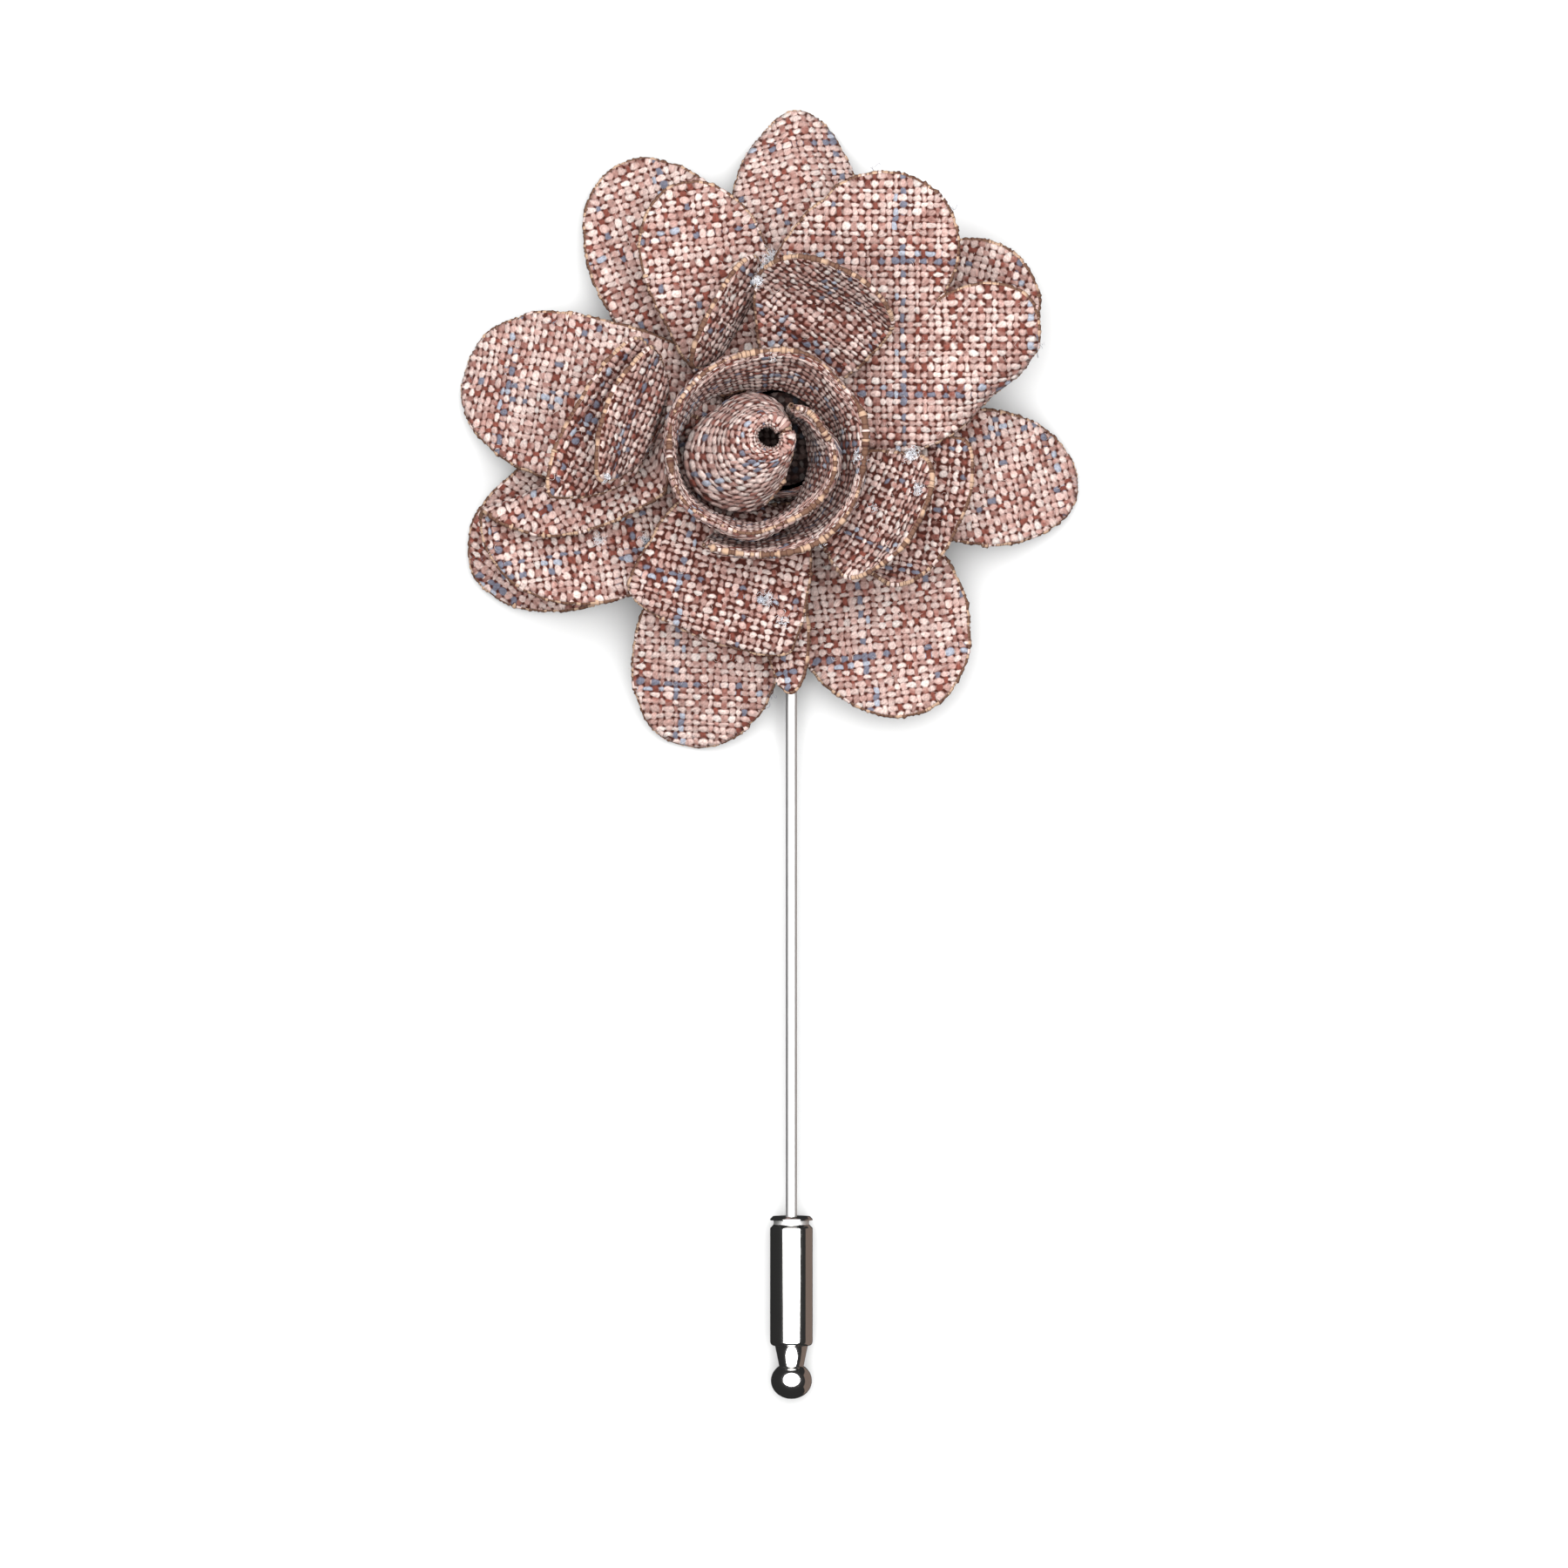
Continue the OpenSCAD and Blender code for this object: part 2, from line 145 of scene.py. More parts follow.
# Each petal: seat (aim, out, level, turn), cut (length, width, root, full, swell, notch, right),
# bend (rise, tip, sweep, cup, lip, crease, twist, turned, rests), weave (grain, check across, check along)
PETALS = {
    "outer_petal_top": (
        (84.5, 0, 1, 0), (1.06, 0.84, 0.45, 0.58, 0.5, 0, 1), (12, -32, 5, 0, 0, -24, 0, 0, 1), (12, 5, 9)),
    "outer_petal_upper_left": (
        (121.3, 0, 0, 0), (0.98, 1.01, 0.45, 0.55, 0.45, 0, 1), (0, -14, -4, 0, 2, 0, 0, 0, 0),
        (-8, 14, 3)),
    "outer_petal_left": (
        (168.5, 0, 1, 0), (1.03, 1.07, 0.45, 0.55, 0.45, 0, 1), (8, -36, -4, 0, 0, 0, 0, 0, 1), (4, 8, 20)),
    "outer_petal_lower_left": (
        (202.5, 0, 0, 0), (1.02, 1.02, 0.36, 0.55, 0.5, 0, 1), (-2, -14, 0, 0, -4, 0, 0, 0, 0), (30, 3, 6)),
    "outer_petal_bottom": (
        (250.5, 0, 1, 0), (0.99, 0.96, 0.36, 0.58, 0.5, 0, 1), (8, -30, 5, 0, -6, 0, 0, 0, 1), (14, 11, 6)),
    "outer_petal_lower_right": (
        (299.5, 0, 0, 0), (0.91, 1.14, 0.3, 0.55, 0.55, 0, 0.95), (-2, 0, 2, 0, 2, 0, 0, 0, 0),
        (-24, 12, 2)),
    "outer_petal_right": (
        (348.5, 0, 1, 0), (0.93, 0.86, 0.4, 0.6, 0.5, 0, 1), (8, -28, 10, 0, 0, 0, 0, 0, 1), (18, 6, 15)),
    "outer_petal_upper_right": (
        (36, 0, 0, 0), (0.91, 1, 0.36, 0.6, 0.5, 0, 1), (-2, 0, -4, 0, 6, 0, 0, 0, 0), (-46, 9, 4)),
    "middle_petal_top": (
        (112, 0, 2, 0), (1.01, 0.72, 0.5, 0.62, 0.5, 0, 1), (6, 4, 0, 0, -8, 0, 0, 0, 0), (-14, 12, 8)),
    "middle_petal_double": (
        (41, 0, 3, 0), (1.05, 1.8, 0.42, 0.62, 0.45, 1, 0.76), (15, 6, 0, 0, -6, 0, 0, 0, 0), (49, 10, 0)),
    "middle_petal_right": (
        (333, 0, 2, 0), (0.65, 1, 0.36, 0.75, 0.7, 0, 1), (2, 16, 0, 0, 8, 0, 0, 0, 0), (20, 3, 11)),
    "middle_petal_bottom": (
        (249, 0, 3.1, 0), (0.72, 1.03, 0.4, 0.85, 0.5, 0, 1), (28, -24, 0, 0, -6, 0, 0, 0, 0), (8, 17, 7)),
    "middle_petal_rolled": (
        (199, 0, 2, 0), (1.17, 1.12, 0.32, 0.55, 0.5, 0, 1), (2, -6, 0, 0, 0, 0, 0, 0, 0), (-10, 4, 13)),
    "middle_petal_left": (
        (183, 1.12, 4.4, -32), (0.46, 1.06, 0.3, 0.8, 0.7, 0, 1), (42, 26, 0, 0, 8, 0, 0, 0, 0),
        (0, 15, 19)),
    "middle_petal_narrow": (
        (271, 0, 2.25, 2.5), (0.89, 0.25, 0.74, 0.62, 0.7, 0, 1), (2, -4, 0, 0, 0, 0, 0, 16, 0), (6, 9, 2)),
    "inner_petal_top": (
        (72, 0, 4, 0), (1.2, 0.92, 0.36, 0.62, 0.7, 0, 1), (12, 70, -6, 15, 15, 0, 0, 0, 0), (-20, 6, 18)),
    "inner_petal_standing": (
        (107.5, 1.04, 3.4, 42), (0.45, 0.8, 0.48, 0.62, 0.7, 0, 1), (64, 56, 0, 0, 0, 0, 0, 0, 0),
        (0, 7, 7)),
    "inner_petal_left": (
        (174, 1.06, 6.1, -16), (0.58, 0.9, 0.5, 0.7, 0.7, 0, 1), (62, 44, 0, 0, 8, 0, 0, 0, 0), (0, 0, 11)),
    "inner_petal_right": (
        (324, 0.1, 4, 0), (0.86, 0.91, 0.4, 0.62, 0.7, 0, 1), (0, 62, 0, 15, 15, 0, 0, 0, 0), (10, 8, 5)),
}
SEAT = ("aim", "out", "level", "turn")
CUT = ("long", "wide", "root", "full", "swell", "notch", "right")
BEND = ("rise", "tip", "sweep", "cup", "lip", "crease", "twist", "turned", "rests")
WEAVE = ("grain", "check_u", "check_v")

# Rolled edges: side (1 left, -1 right seen from the root), where the bend starts across at the root and at
# the tip, its width, its angle, where it starts and is complete along the petal
ROLLS = {
    "middle_petal_rolled": (-1, 0.2, 0.2, 0.35, 172, 0, 0.25),
    "middle_petal_right": (-1, 0.2, 0.2, 0.8, 40, 0, 0.5),
    "middle_petal_double": (-1, 0.45, 0.8, 0.3, -65, 0.2, 0.6),
}

# Petals bent steeply near the bud, whose weave gets deeper painted shade between its yarns
BENT_PETALS = ("middle_petal_left", "middle_petal_bottom", "middle_petal_right", "middle_petal_narrow")
# Colours of the woven cloth, the last of them painted shade, and the shade depth, contrast and cover of the
# weave
# on each kind of face: the painted shade between the yarns grows deeper from the outer petals towards the bud
WEAVE_COLOURS = ("Cream", "Peach", "Rust", "Mauve", "Blue", "Pale blue", "Gap")
FACES = {
    "Flat cloth": (0.24, 2.3, 1.2), "Petal cloth": (0.3, 2.4, 1.2), "Bent cloth": (0.42, 2.7, 1.3),
    "Core cloth": (0.46, 2.5, 1.0)}
# Least side of a cut sheet, and what its rolled edge adds, in millimetres; what turned edges add as a share
LEAST_CUT = 10
EDGE_CUT = 0.8
TURNED_EDGES = 1.2

# White lint caught in the flower: place x and y, width of the tuft and number of its fibres
LINT = (
    (-1.5, 30.5, 0.9, 130), (-2.4, 28.6, 0.6, 70), (-2.0, 29.6, 0.5, 50), (8.5, 16.4, 0.8, 120),
    (4.8, 16.1, 0.6, 70), (9.0, 13.9, 0.6, 60), (-1.8, 6.1, 0.8, 110), (-10.5, 10.5, 0.5, 50),
    (-13.7, 10.4, 0.6, 60), (2.0, 10.2, 0.6, 60), (-13.0, 14.6, 0.4, 40), (-1.4, 23.2, 0.4, 40),
    (-0.6, 4.6, 0.6, 60), (5.9, 12.6, 0.4, 40))
# Loose blue threads at the cut edges, in the same form
THREADS = (
    (17.6, 23.9, 0.7, 7), (11.3, 34.0, 0.5, 5), (-6.8, 38.0, 0.5, 6), (-17.1, 26.1, 0.5, 6),
    (-1.5, -0.8, 0.5, 6), (17.9, 22.3, 0.6, 6), (5.9, 36.7, 0.4, 3), (20.2, 14.9, 0.4, 3),
    (-23.0, 22.0, 0.4, 3), (-9.9, 36.4, 0.4, 3), (11.4, 0.6, 0.4, 3), (-22.4, 9.0, 0.4, 3))

# Sampling of the cloth: cells to a yarn, steps along and across a petal and round it, sides of its rim
PER_YARN = 4
SPINE_STEPS = 96
CROSS_STEPS = 20
OUTLINE_STEPS = 260
RIM_SIDES = 6
# How far the yarns of a rolled sheet may crowd together where it narrows, as a share of their pitch
LEAST_NARROWING = 0.25
# Side of the tables of random values, a step that is small beside a sheet, and a share just short of all
RANDOM_SIZE = 128
TINY = 1e-4
NEARLY = 0.999
WEAVE_MAP = "Weave"
# Unevenness of the cloth: lengths of its waves in millimetres, yarns over which a yarn strays, least and
# most fullness of a crossing, lengths over which a cut edge strays and the share of the shorter one
RIPPLE_WAVES = (9.0, 6.0, 4.2)
STRAY_RUN = 5
CROSSING_FULL = (0.6, 1.15)
FRAY_RUNS = (1.9, 0.45)
FRAY_FINE = 0.6
# A rim: least girth, depth and length of its breaks, girth of an open end and the steps of its taper
LEAST_GIRTH = 0.25
BREAK_DEPTH = 1.6
BREAK_RUN = 3
END_GIRTH = 0.3
END_STEPS = 3
# The bud's folds, as shares of half the doubled cloth: how far out and up the seam lies; then its girth
# beside a petal's rim, the lumps of the fold and of the seam, and how far the seam is broken
SEAM_OUT = 0.8
SEAM_LIFT = 0.5
SEAM_FULL = 1.25
FOLD_LUMPS = 0.04
SEAM_LUMPS = 0.2
SEAM_BROKEN = 0.3
# Yarn colours: what slow changes along it, the yarn itself and each crossing add to its shade, and the
# share of crossings at which a blue yarn of the check and the paler one beside it show
SLOW_CHANGE = 2.8
OWN_CHANGE = 0.3
CROSSING_CHANGE = 0.4
BLUE_SHOWS = 0.7
PALE_SHOWS = 0.28
# Scale and middle of the slow change, least and spread of a crossing's tone, how seldom a blue yarn strays
SLOW_SCALE = 0.35
SLOW_MIDDLE = 0.42
TONE_LEAST = 0.8
TONE_SPREAD = 0.3
STRAY_BASE = 0.35
STRAY_OVER = 1.27
# A yarn's width: its scale, spread and least; and the shares of roundness and of crossings in its height
WIDTH_SCALE = 0.7
WIDTH_SPREAD = 0.75
WIDTH_LEAST = 0.55
ROUND_SHARE = 0.62
CROSSING_SHARE = 0.38
# The weave as a whole: scale and size of its patches, of the yarns' straying and of the painted shade
# between them, sharpness of the crossings, turns and straying of the ply and scale of the specks
PATCH_SCALE = 0.16
PATCH_CHANGE = 1.8
STRAY_SCALE = 0.75
STRAY_SIZE = 0.8
DEPTH_SCALE = 0.75
DEPTH_CHANGE = 3.2
DEPTH_LESS = 0.6
CROSSING_SHARP = 4.0
PLY_TURNS = 1.7
PLY_SCALE = 1.8
PLY_STRAY = 2.4
SPECK_SCALE = 2.6
# A fibre: its curl as shares of its length, steps along it and sides, least and most length, and its lean
CURL = {
    "Start": (0, 0, -0.03), "Start Handle": (0.25, 0.1, 0.5), "End Handle": (0.6, 0.45, 0.35),
    "End": (0.8, -0.1, 0.06)}
CURL_STEPS = 6
FIBRE_SIDES = 3
FIBRE_SIZES = (0.4, 1.2)
FIBRE_LEAN = 0.4
# A tuft, as shares of its width: its spread each way and how high it stands
TUFT = (0.32, 0.32, 0.14)
TUFT_LIFT = 0.15
# Turned metal: marks and smears to a metre, and how far they change its roughness
MARKS = 9000.0
SMEARS = 900.0
MARK_CHANGE = 0.05
# Softened corners in millimetres: wire, pad, clutch and its neck; and the length of the stem's shoulder
WIRE_ROUND = 0.12
PAD_ROUND = 0.15
CLUTCH_ROUND = 0.03
NECK_ROUND = 0.08
STEM_SHOULDER = 0.15
# Where the maps of a sheet's under face and of its rim start, so that no blue line runs along a fold
UNDER_MAP = (7, 4)
RIM_MAP = (3, 5)

# The core: how far its wall lies inside CORE_R, length and height of the wall, inset and sides of the lid
CORE_INSET = 0.45
CORE_CUT = (26, 6)
LID_INSET = 0.6
LID_SIDES = 48

# The stage: middle of the picture in millimetres, half the table's side in metres, the card's tilt in
# degrees and the width of the camera's sensor in millimetres
PICTURE_MIDDLE = (-0.53, -7.0)
TABLE_HALF = 1.5
CARD_TILT = 121
SENSOR = 36


def clip(value):
    return np.clip(value, 0, 1)


def unit(vectors):
    return vectors / np.linalg.norm(vectors, axis=-1, keepdims=True)


def lengths(vectors):
    return np.linalg.norm(vectors, axis=-1)


def direction(slope, heading):
    """Unit vectors that rise at a slope above the table and head an angle from +X."""
    flat = np.cos(slope)
    return np.stack([flat * np.cos(heading), flat * np.sin(heading), np.sin(slope) + 0 * heading], -1)


def round_axis(x, y, r, angle, z):
    """Points at a distance and an angle from an upright axis."""
    return np.stack([x + r * np.cos(angle), y + r * np.sin(angle), z], -1)


def between(low, high, share):
    return low + (high - low) * share


class Petal:
    """A flat cut sheet, bent along its length and across its width as in the part. Millimetres."""

    def __init__(self, name):
        for names, values in zip((SEAT, CUT, BEND, WEAVE), PETALS[name]):
            for key, value in zip(names, values):
                setattr(self, key, value)
        length, width = LAYERS[name.split("_")[0]]
        self.length = length * self.long
        self.width = width * self.wide
        self.roll = ROLLS.get(name)
        self.line = self.spine()

    def half(self, y):
        return np.where(y < 0, self.right, 1.0) * self.width / 2

    def tip_x(self, y):
        t = clip(np.abs(y) / self.half(y))
        one = np.sqrt(clip(1 - t * t))
        two = np.sqrt(clip(1 - (2 * t - 1) ** 2))
        full = self.length * self.full
        return full + (self.length - full) * between(one, two, self.notch)

    def root_x(self, y):
        h = self.half(y)
        t = clip((np.abs(y) - h * self.root) / (h * (1 - self.root)))
        return self.length * self.full * (1 - clip(1 - t ** (1 / self.swell)) ** self.swell)

    def slope(self, s):
        return np.radians(between(self.rise, self.tip, s))

    def heading(self, s):
        return np.radians(self.aim + self.turn + self.sweep * s)

    def spine(self):
        s = (np.arange(SPINE_STEPS) + 0.5) / SPINE_STEPS
        line = np.zeros((SPINE_STEPS + 1, 3))
        line[1:] = np.cumsum(direction(self.slope(s), self.heading(s)), 0) * self.length / SPINE_STEPS
        line += round_axis(
            *CENTRE, ROOT_R + self.out * CORE_R, math.radians(self.aim), ROOT_Z + self.level * LAYER)
        if self.rests:
            drop = TABLE_Z + CLOTH_T / 2 + 0.02 - line[-1, 2]
            line[:, 2] += drop * np.linspace(0, 1, SPINE_STEPS + 1) ** 2
        return line

    def axes(self, s):
        """Unit vectors across the petal and up from its face."""
        slope, heading = self.slope(s), self.heading(s)
        across = direction(0, heading + math.pi / 2)
        up = direction(slope + math.pi / 2, heading)
        twist = np.radians(between(self.twist, self.turned, s))[..., None]
        return across * np.cos(twist) + up * np.sin(twist), up * np.cos(twist) - across * np.sin(twist)

    def lean(self, side, v, s):
        """Angle of the cloth beside the middle line."""
        angle = between(self.cup, self.lip, s) * v + self.crease * s * s * clip(v / 0.15)
        if self.roll:
            roll_side, start, start_tip, width, turn, begin, done = self.roll
            rolled = clip((s - begin) / (done - begin)) * clip((v - between(start, start_tip, s)) / width)
            angle = angle + np.where(side == roll_side, turn * rolled, 0)
        return np.radians(angle)

    def point(self, x, y):
        """Points of the cloth's middle face and its normals."""
        s = clip(x / self.length)
        side, v = np.where(y < 0, -1, 1), np.abs(y) / self.half(y)
        out, rise = np.zeros_like(x), np.zeros_like(x)
        for j in range(CROSS_STEPS):
            angle = self.lean(side, v * (j + 0.5) / CROSS_STEPS, s)
            out += np.cos(angle) * np.abs(y) / CROSS_STEPS
            rise += np.sin(angle) * np.abs(y) / CROSS_STEPS
        across, up = self.axes(s)
        q = s * SPINE_STEPS
        i = np.minimum(q.astype(int), SPINE_STEPS - 1)
        middle = between(self.line[i], self.line[i + 1], (q - i)[..., None])
        end = self.lean(side, v, s)[..., None]
        side = side[..., None]
        place = middle + across * side * out[..., None] + up * rise[..., None]
        return place, up * np.cos(end) - across * side * np.sin(end)

    def outline(self):
        """The cut edge, once round, anticlockwise seen from the face."""
        v = np.sin(np.linspace(-math.pi / 2, math.pi / 2, OUTLINE_STEPS)) * NEARLY
        y = v * self.half(v)
        tip = np.stack([self.tip_x(y), y], -1)
        root = np.stack([self.root_x(y), y], -1)
        return np.concatenate([tip, root[::-1][1:-1]])


def polygon_area(points):
    x, y = points[:, 0], points[:, 1]
    return abs(np.sum(x * np.roll(y, -1) - y * np.roll(x, -1))) / 2


def line_length(points):
    return np.sum(lengths(points - np.roll(points, -1, 0)))


def resample(points, step):
    """A closed line of points with even steps."""
    ring = np.concatenate([points, points[:1]])
    run = np.append(0, np.cumsum(lengths(np.diff(ring, axis=0))))
    at = np.linspace(0, run[-1], max(8, int(run[-1] / step)), endpoint=False)
    return np.stack([np.interp(at, run, ring[:, c]) for c in range(ring.shape[1])], -1)


def value_noise(x, y, seed):
    """Random values from -1 to 1, one for each whole step of x and y, blended in between."""
    table = np.random.default_rng(seed).uniform(-1, 1, (RANDOM_SIZE, RANDOM_SIZE))
    ix, iy = np.floor(x).astype(int), np.floor(y).astype(int)
    fx, fy = x - ix, y - iy
    fy = fy * fy * (3 - 2 * fy)
    rows, cols = (ix % RANDOM_SIZE, (ix + 1) % RANDOM_SIZE), (iy % RANDOM_SIZE, (iy + 1) % RANDOM_SIZE)
    low, high = (between(table[rows[0], col], table[rows[1], col], fx) for col in cols)
    return between(low, high, fy)


def wander(u, v, amount, seed):
    """How far each yarn strays from an even lattice, in yarns: slowly, and apart from its neighbours."""
    across = value_noise(u, v / STRAY_RUN, seed) * amount
    along = value_noise(v, u / STRAY_RUN, seed + 1) * amount
    return across, along


def weave_height(u, v, seed):
    """Height of a plain weave from 0 in the gaps to about 1 on the yarns, in yarns across and along."""
    fu, fv = np.abs(np.sin(math.pi * u)), np.abs(np.sin(math.pi * v))
    over = (np.floor(u + 1e-6) + np.floor(v + 1e-6)) % 2 < 0.5
    full = np.random.default_rng(seed).uniform(*CROSSING_FULL, (RANDOM_SIZE, RANDOM_SIZE))
    full = full[np.floor(u).astype(int) % RANDOM_SIZE, np.floor(v).astype(int) % RANDOM_SIZE]
    return np.where(over, fu * np.sqrt(fv), fv * np.sqrt(fu)) * full


def ripple(x, y, cloth, seed):
    """A gentle unevenness of the cloth, in millimetres."""
    rng = np.random.default_rng(seed)
    total = 0 * x
    for wave in RIPPLE_WAVES:
        angle, phase = rng.uniform(0, TAU, 2)
        total += np.sin((x * math.cos(angle) + y * math.sin(angle)) * TAU / wave + phase) / len(RIPPLE_WAVES)
    return total[..., None] * cloth.ripple / MM


def link(name, data):
    """A new object at the origin, linked to the scene."""
    thing = bpy.data.objects.new(name, data)
    bpy.context.scene.collection.objects.link(thing)
    return thing


def tube_faces(rings, sides, closed=False):
    """Quads between neighbouring rings of a tube, and between its last and first where it is closed."""
    i, j = np.meshgrid(np.arange(rings if closed else rings - 1), np.arange(sides), indexing="ij")
    i, j = i.ravel(), j.ravel()
    on, beside = (i + 1) % rings * sides, (j + 1) % sides
    return np.stack([i * sides + j, on + j, on + beside, i * sides + beside], -1)


class Shell:
    """Collects the points, faces and weave coordinates of one mesh. Millimetres."""

    def __init__(self):
        self.points, self.faces, self.maps, self.slots = [], [], [], []
        self.count = 0

    def add(self, points, faces, maps, slot=0):
        self.points.append(points.reshape(-1, 3))
        self.faces.append(np.asarray(faces) + self.count)
        self.maps.append(maps.reshape(-1, 2))
        self.slots.append(np.full(len(faces), slot))
        self.count += len(self.points[-1])

    def build(self, name, materials):
        points, faces = np.concatenate(self.points) * MM, np.concatenate(self.faces)
        maps, slots = np.concatenate(self.maps), np.concatenate(self.slots)
        mesh = bpy.data.meshes.new(name)
        mesh.vertices.add(len(points))
        mesh.vertices.foreach_set("co", points.ravel())
        mesh.loops.add(faces.size)
        mesh.loops.foreach_set("vertex_index", faces.ravel().astype(np.int32))
        mesh.polygons.add(len(faces))
        mesh.polygons.foreach_set("loop_start", np.arange(len(faces), dtype=np.int32) * 4)
        mesh.polygons.foreach_set("material_index", slots.astype(np.int32))
        mesh.polygons.foreach_set("use_smooth", np.ones(len(faces), bool))
        layer = mesh.uv_layers.new(name=WEAVE_MAP)
        layer.data.foreach_set("uv", maps[faces.ravel()].ravel().astype(np.float32))
        mesh.update(calc_edges=True)
        mesh.validate()
        for material in materials:
            mesh.materials.append(material)
        return link(name, mesh)


def rim(shell, centres, normals, closed, cloth, seed, radius, slot=1, lumps=0.16, broken=0.0):
    """A cord along an edge: sealed yarn ends in lumps, or with slot 0 the cloth folded over. Millimetres."""
    count = len(centres)
    rng = np.random.default_rng(seed)
    if closed:
        along = np.roll(centres, -1, 0) - np.roll(centres, 1, 0)
    else:
        along = np.gradient(centres, axis=0)
    side = unit(np.cross(unit(along), normals))
    run = np.append(0, np.cumsum(lengths(np.diff(centres, axis=0)))) / (cloth.yarn_pitch / MM)
    sizes = rng.uniform(1 - lumps, 1 + lumps, int(run[-1]) + 2)
    radius = radius * (sizes[run.astype(int)] + rng.normal(0, lumps, count))
    breaks = broken * BREAK_DEPTH * value_noise(run * 0, run / BREAK_RUN, seed)
    radius = radius * np.maximum(LEAST_GIRTH, 1 - broken + breaks)
    if not closed:
        from_end = np.minimum(np.arange(count), np.arange(count)[::-1])
        radius = radius * np.minimum(1, END_GIRTH + from_end / END_STEPS)
    turn = np.arange(RIM_SIDES) / RIM_SIDES * TAU
    ring = (
        normals[:, None, :] * np.sin(turn)[None, :, None] + side[:, None, :] * np.cos(turn)[None, :, None])
    points = centres[:, None, :] + ring * radius[:, None, None]
    girth = TAU * np.mean(radius) / (cloth.yarn_pitch / MM)
    maps = np.stack([np.repeat(run, RIM_SIDES), np.tile(turn / TAU * girth, count)], -1) + RIM_MAP
    shell.add(points, tube_faces(count, RIM_SIDES, closed), maps, slot)


def lattice_faces(keep):
    """Quads of the kept cells of a lattice, and its open edges, as indices into the flat lattice."""
    rows, cols = keep.shape
    index = np.arange((rows + 1) * (cols + 1)).reshape(rows + 1, cols + 1)
    i, j = np.nonzero(keep)
    quads = np.stack([index[i, j], index[i + 1, j], index[i + 1, j + 1], index[i, j + 1]], -1)
    pad = np.pad(keep, 1)
    edges = []
    for di, dj, first, second in ((0, -1, 0, 1), (1, 0, 1, 2), (0, 1, 2, 3), (-1, 0, 3, 0)):
        open_side = ~pad[i + 1 + di, j + 1 + dj]
        edges.append(quads[open_side][:, [first, second]])
    return quads, np.concatenate(edges)


def add_sheet(shell, place, normal, thick, maps, quads, edges):
    """Both faces of a sheet and the walls between them."""
    n = len(place)
    walls = np.stack([edges[:, 1], edges[:, 0], edges[:, 0] + n, edges[:, 1] + n], -1)
    off = normal * thick[:, None]
    shell.add(np.concatenate([place + off, place - off]), np.concatenate([quads, quads[:, ::-1] + n, walls]),
              np.concatenate([maps, maps + UNDER_MAP]))


def petal_shell(petal, cloth, seed):
    """The woven sheet of a petal with a relief of its yarns on both faces, and its rim."""
    pitch = cloth.yarn_pitch / MM
    grain = math.radians(petal.grain)
    cos, sin = math.cos(grain), math.sin(grain)
    reach = int(math.hypot(petal.length, petal.width) / 2 / pitch * PER_YARN) + 2
    reach += -reach % PER_YARN
    steps = np.arange(-reach, reach + 1) / PER_YARN
    weave_u, weave_v = np.meshgrid(steps, steps, indexing="ij")
    off_u, off_v = wander(weave_u, weave_v, cloth.wander, seed)
    u, v = (weave_u + off_u) * pitch, (weave_v + off_v) * pitch
    x, y = petal.length / 2 + u * cos - v * sin, u * sin + v * cos
    inside = (x > petal.root_x(y)) & (x < petal.tip_x(y)) & (np.abs(y) < petal.half(y))
    keep = inside[:-1, :-1] & inside[1:, :-1] & inside[1:, 1:] & inside[:-1, 1:]
    quads, edges = lattice_faces(keep)
    used, flat = np.unique(quads, return_inverse=True)
    edges = np.searchsorted(used, edges)
    x, y, u, v = (values.ravel()[used] for values in (x, y, weave_u, weave_v))
    border = np.unique(edges)
    cut_line = frayed(resample(petal.outline(), cloth.rim_step / MM), seed, cloth.fray / MM)
    outline = resample(cut_line, pitch / PER_YARN / 2)
    away = (x[border, None] - outline[:, 0]) ** 2 + (y[border, None] - outline[:, 1]) ** 2
    x[border], y[border] = outline[np.argmin(away, 1)].T
    height = weave_height(u, v, seed)
    height[border] = 0
    place, normal = petal.point(x, y)
    shell = Shell()
    add_sheet(
        shell, place + normal * ripple(x, y, cloth, seed), normal,
        cloth.thickness / MM / 2 + cloth.relief / MM * height,
        np.stack([u + petal.check_u, v + petal.check_v], -1), flat.reshape(quads.shape), edges)
    centres, normals = petal.point(*cut_line.T)
    centres = centres + normals * ripple(*cut_line.T, cloth, seed)
    rim(shell, centres, normals, True, cloth, seed, cloth.rim_radius / MM)
    return shell


def wrap_point(t, h):
    """The bud's coiled sheet, t from its inner end to its outer end and h from its foot to its rim."""
    q = between(WRAP_FROM, WRAP_TO, t)
    angle = np.radians(WRAP_START - 90 * q)
    eighth = np.arange(len(COIL))
    rim_r, lean = (np.interp(2 * q, eighth, share) for share in COIL.T)
    r = rim_r * BUD_R - lean * BUD_LEAN * (1 - h)
    top = BUD_TOP + WRAP_RISE * clip(1 - t) ** WRAP_FALL
    return round_axis(CENTRE[0] - BUD_LEFT, CENTRE[1] - BUD_DOWN, r, angle, between(BUD_Z, top, h))


def heart_point(t, h):
    """The heart, rolled to a leaning cone with a hole at the top and its free edge in front."""
    angle = np.radians(between(between(*HEART_START, h), between(*HEART_END, h), t))
    k = HEART_SWELL * np.sin(np.radians(90 * h)) + (1 - HEART_SWELL) * h
    beside = np.abs(angle - math.radians(SHOULDER_AT)) * SHOULDER_WIDTH
    r = between(HEART_R, HEART_HOLE, k) + HEART_SHOULDER * np.cos(np.minimum(math.pi / 2, beside)) * (1 - k)
    return round_axis(
        CENTRE[0] - HOLE_LEFT - HEART_SKEW * (1 - k), CENTRE[1] - HEART_DOWN * (1 - k), r, angle,
        between(HEART_Z, BUD_TOP + HEART_RISE, np.sin(np.radians(90 * h))))


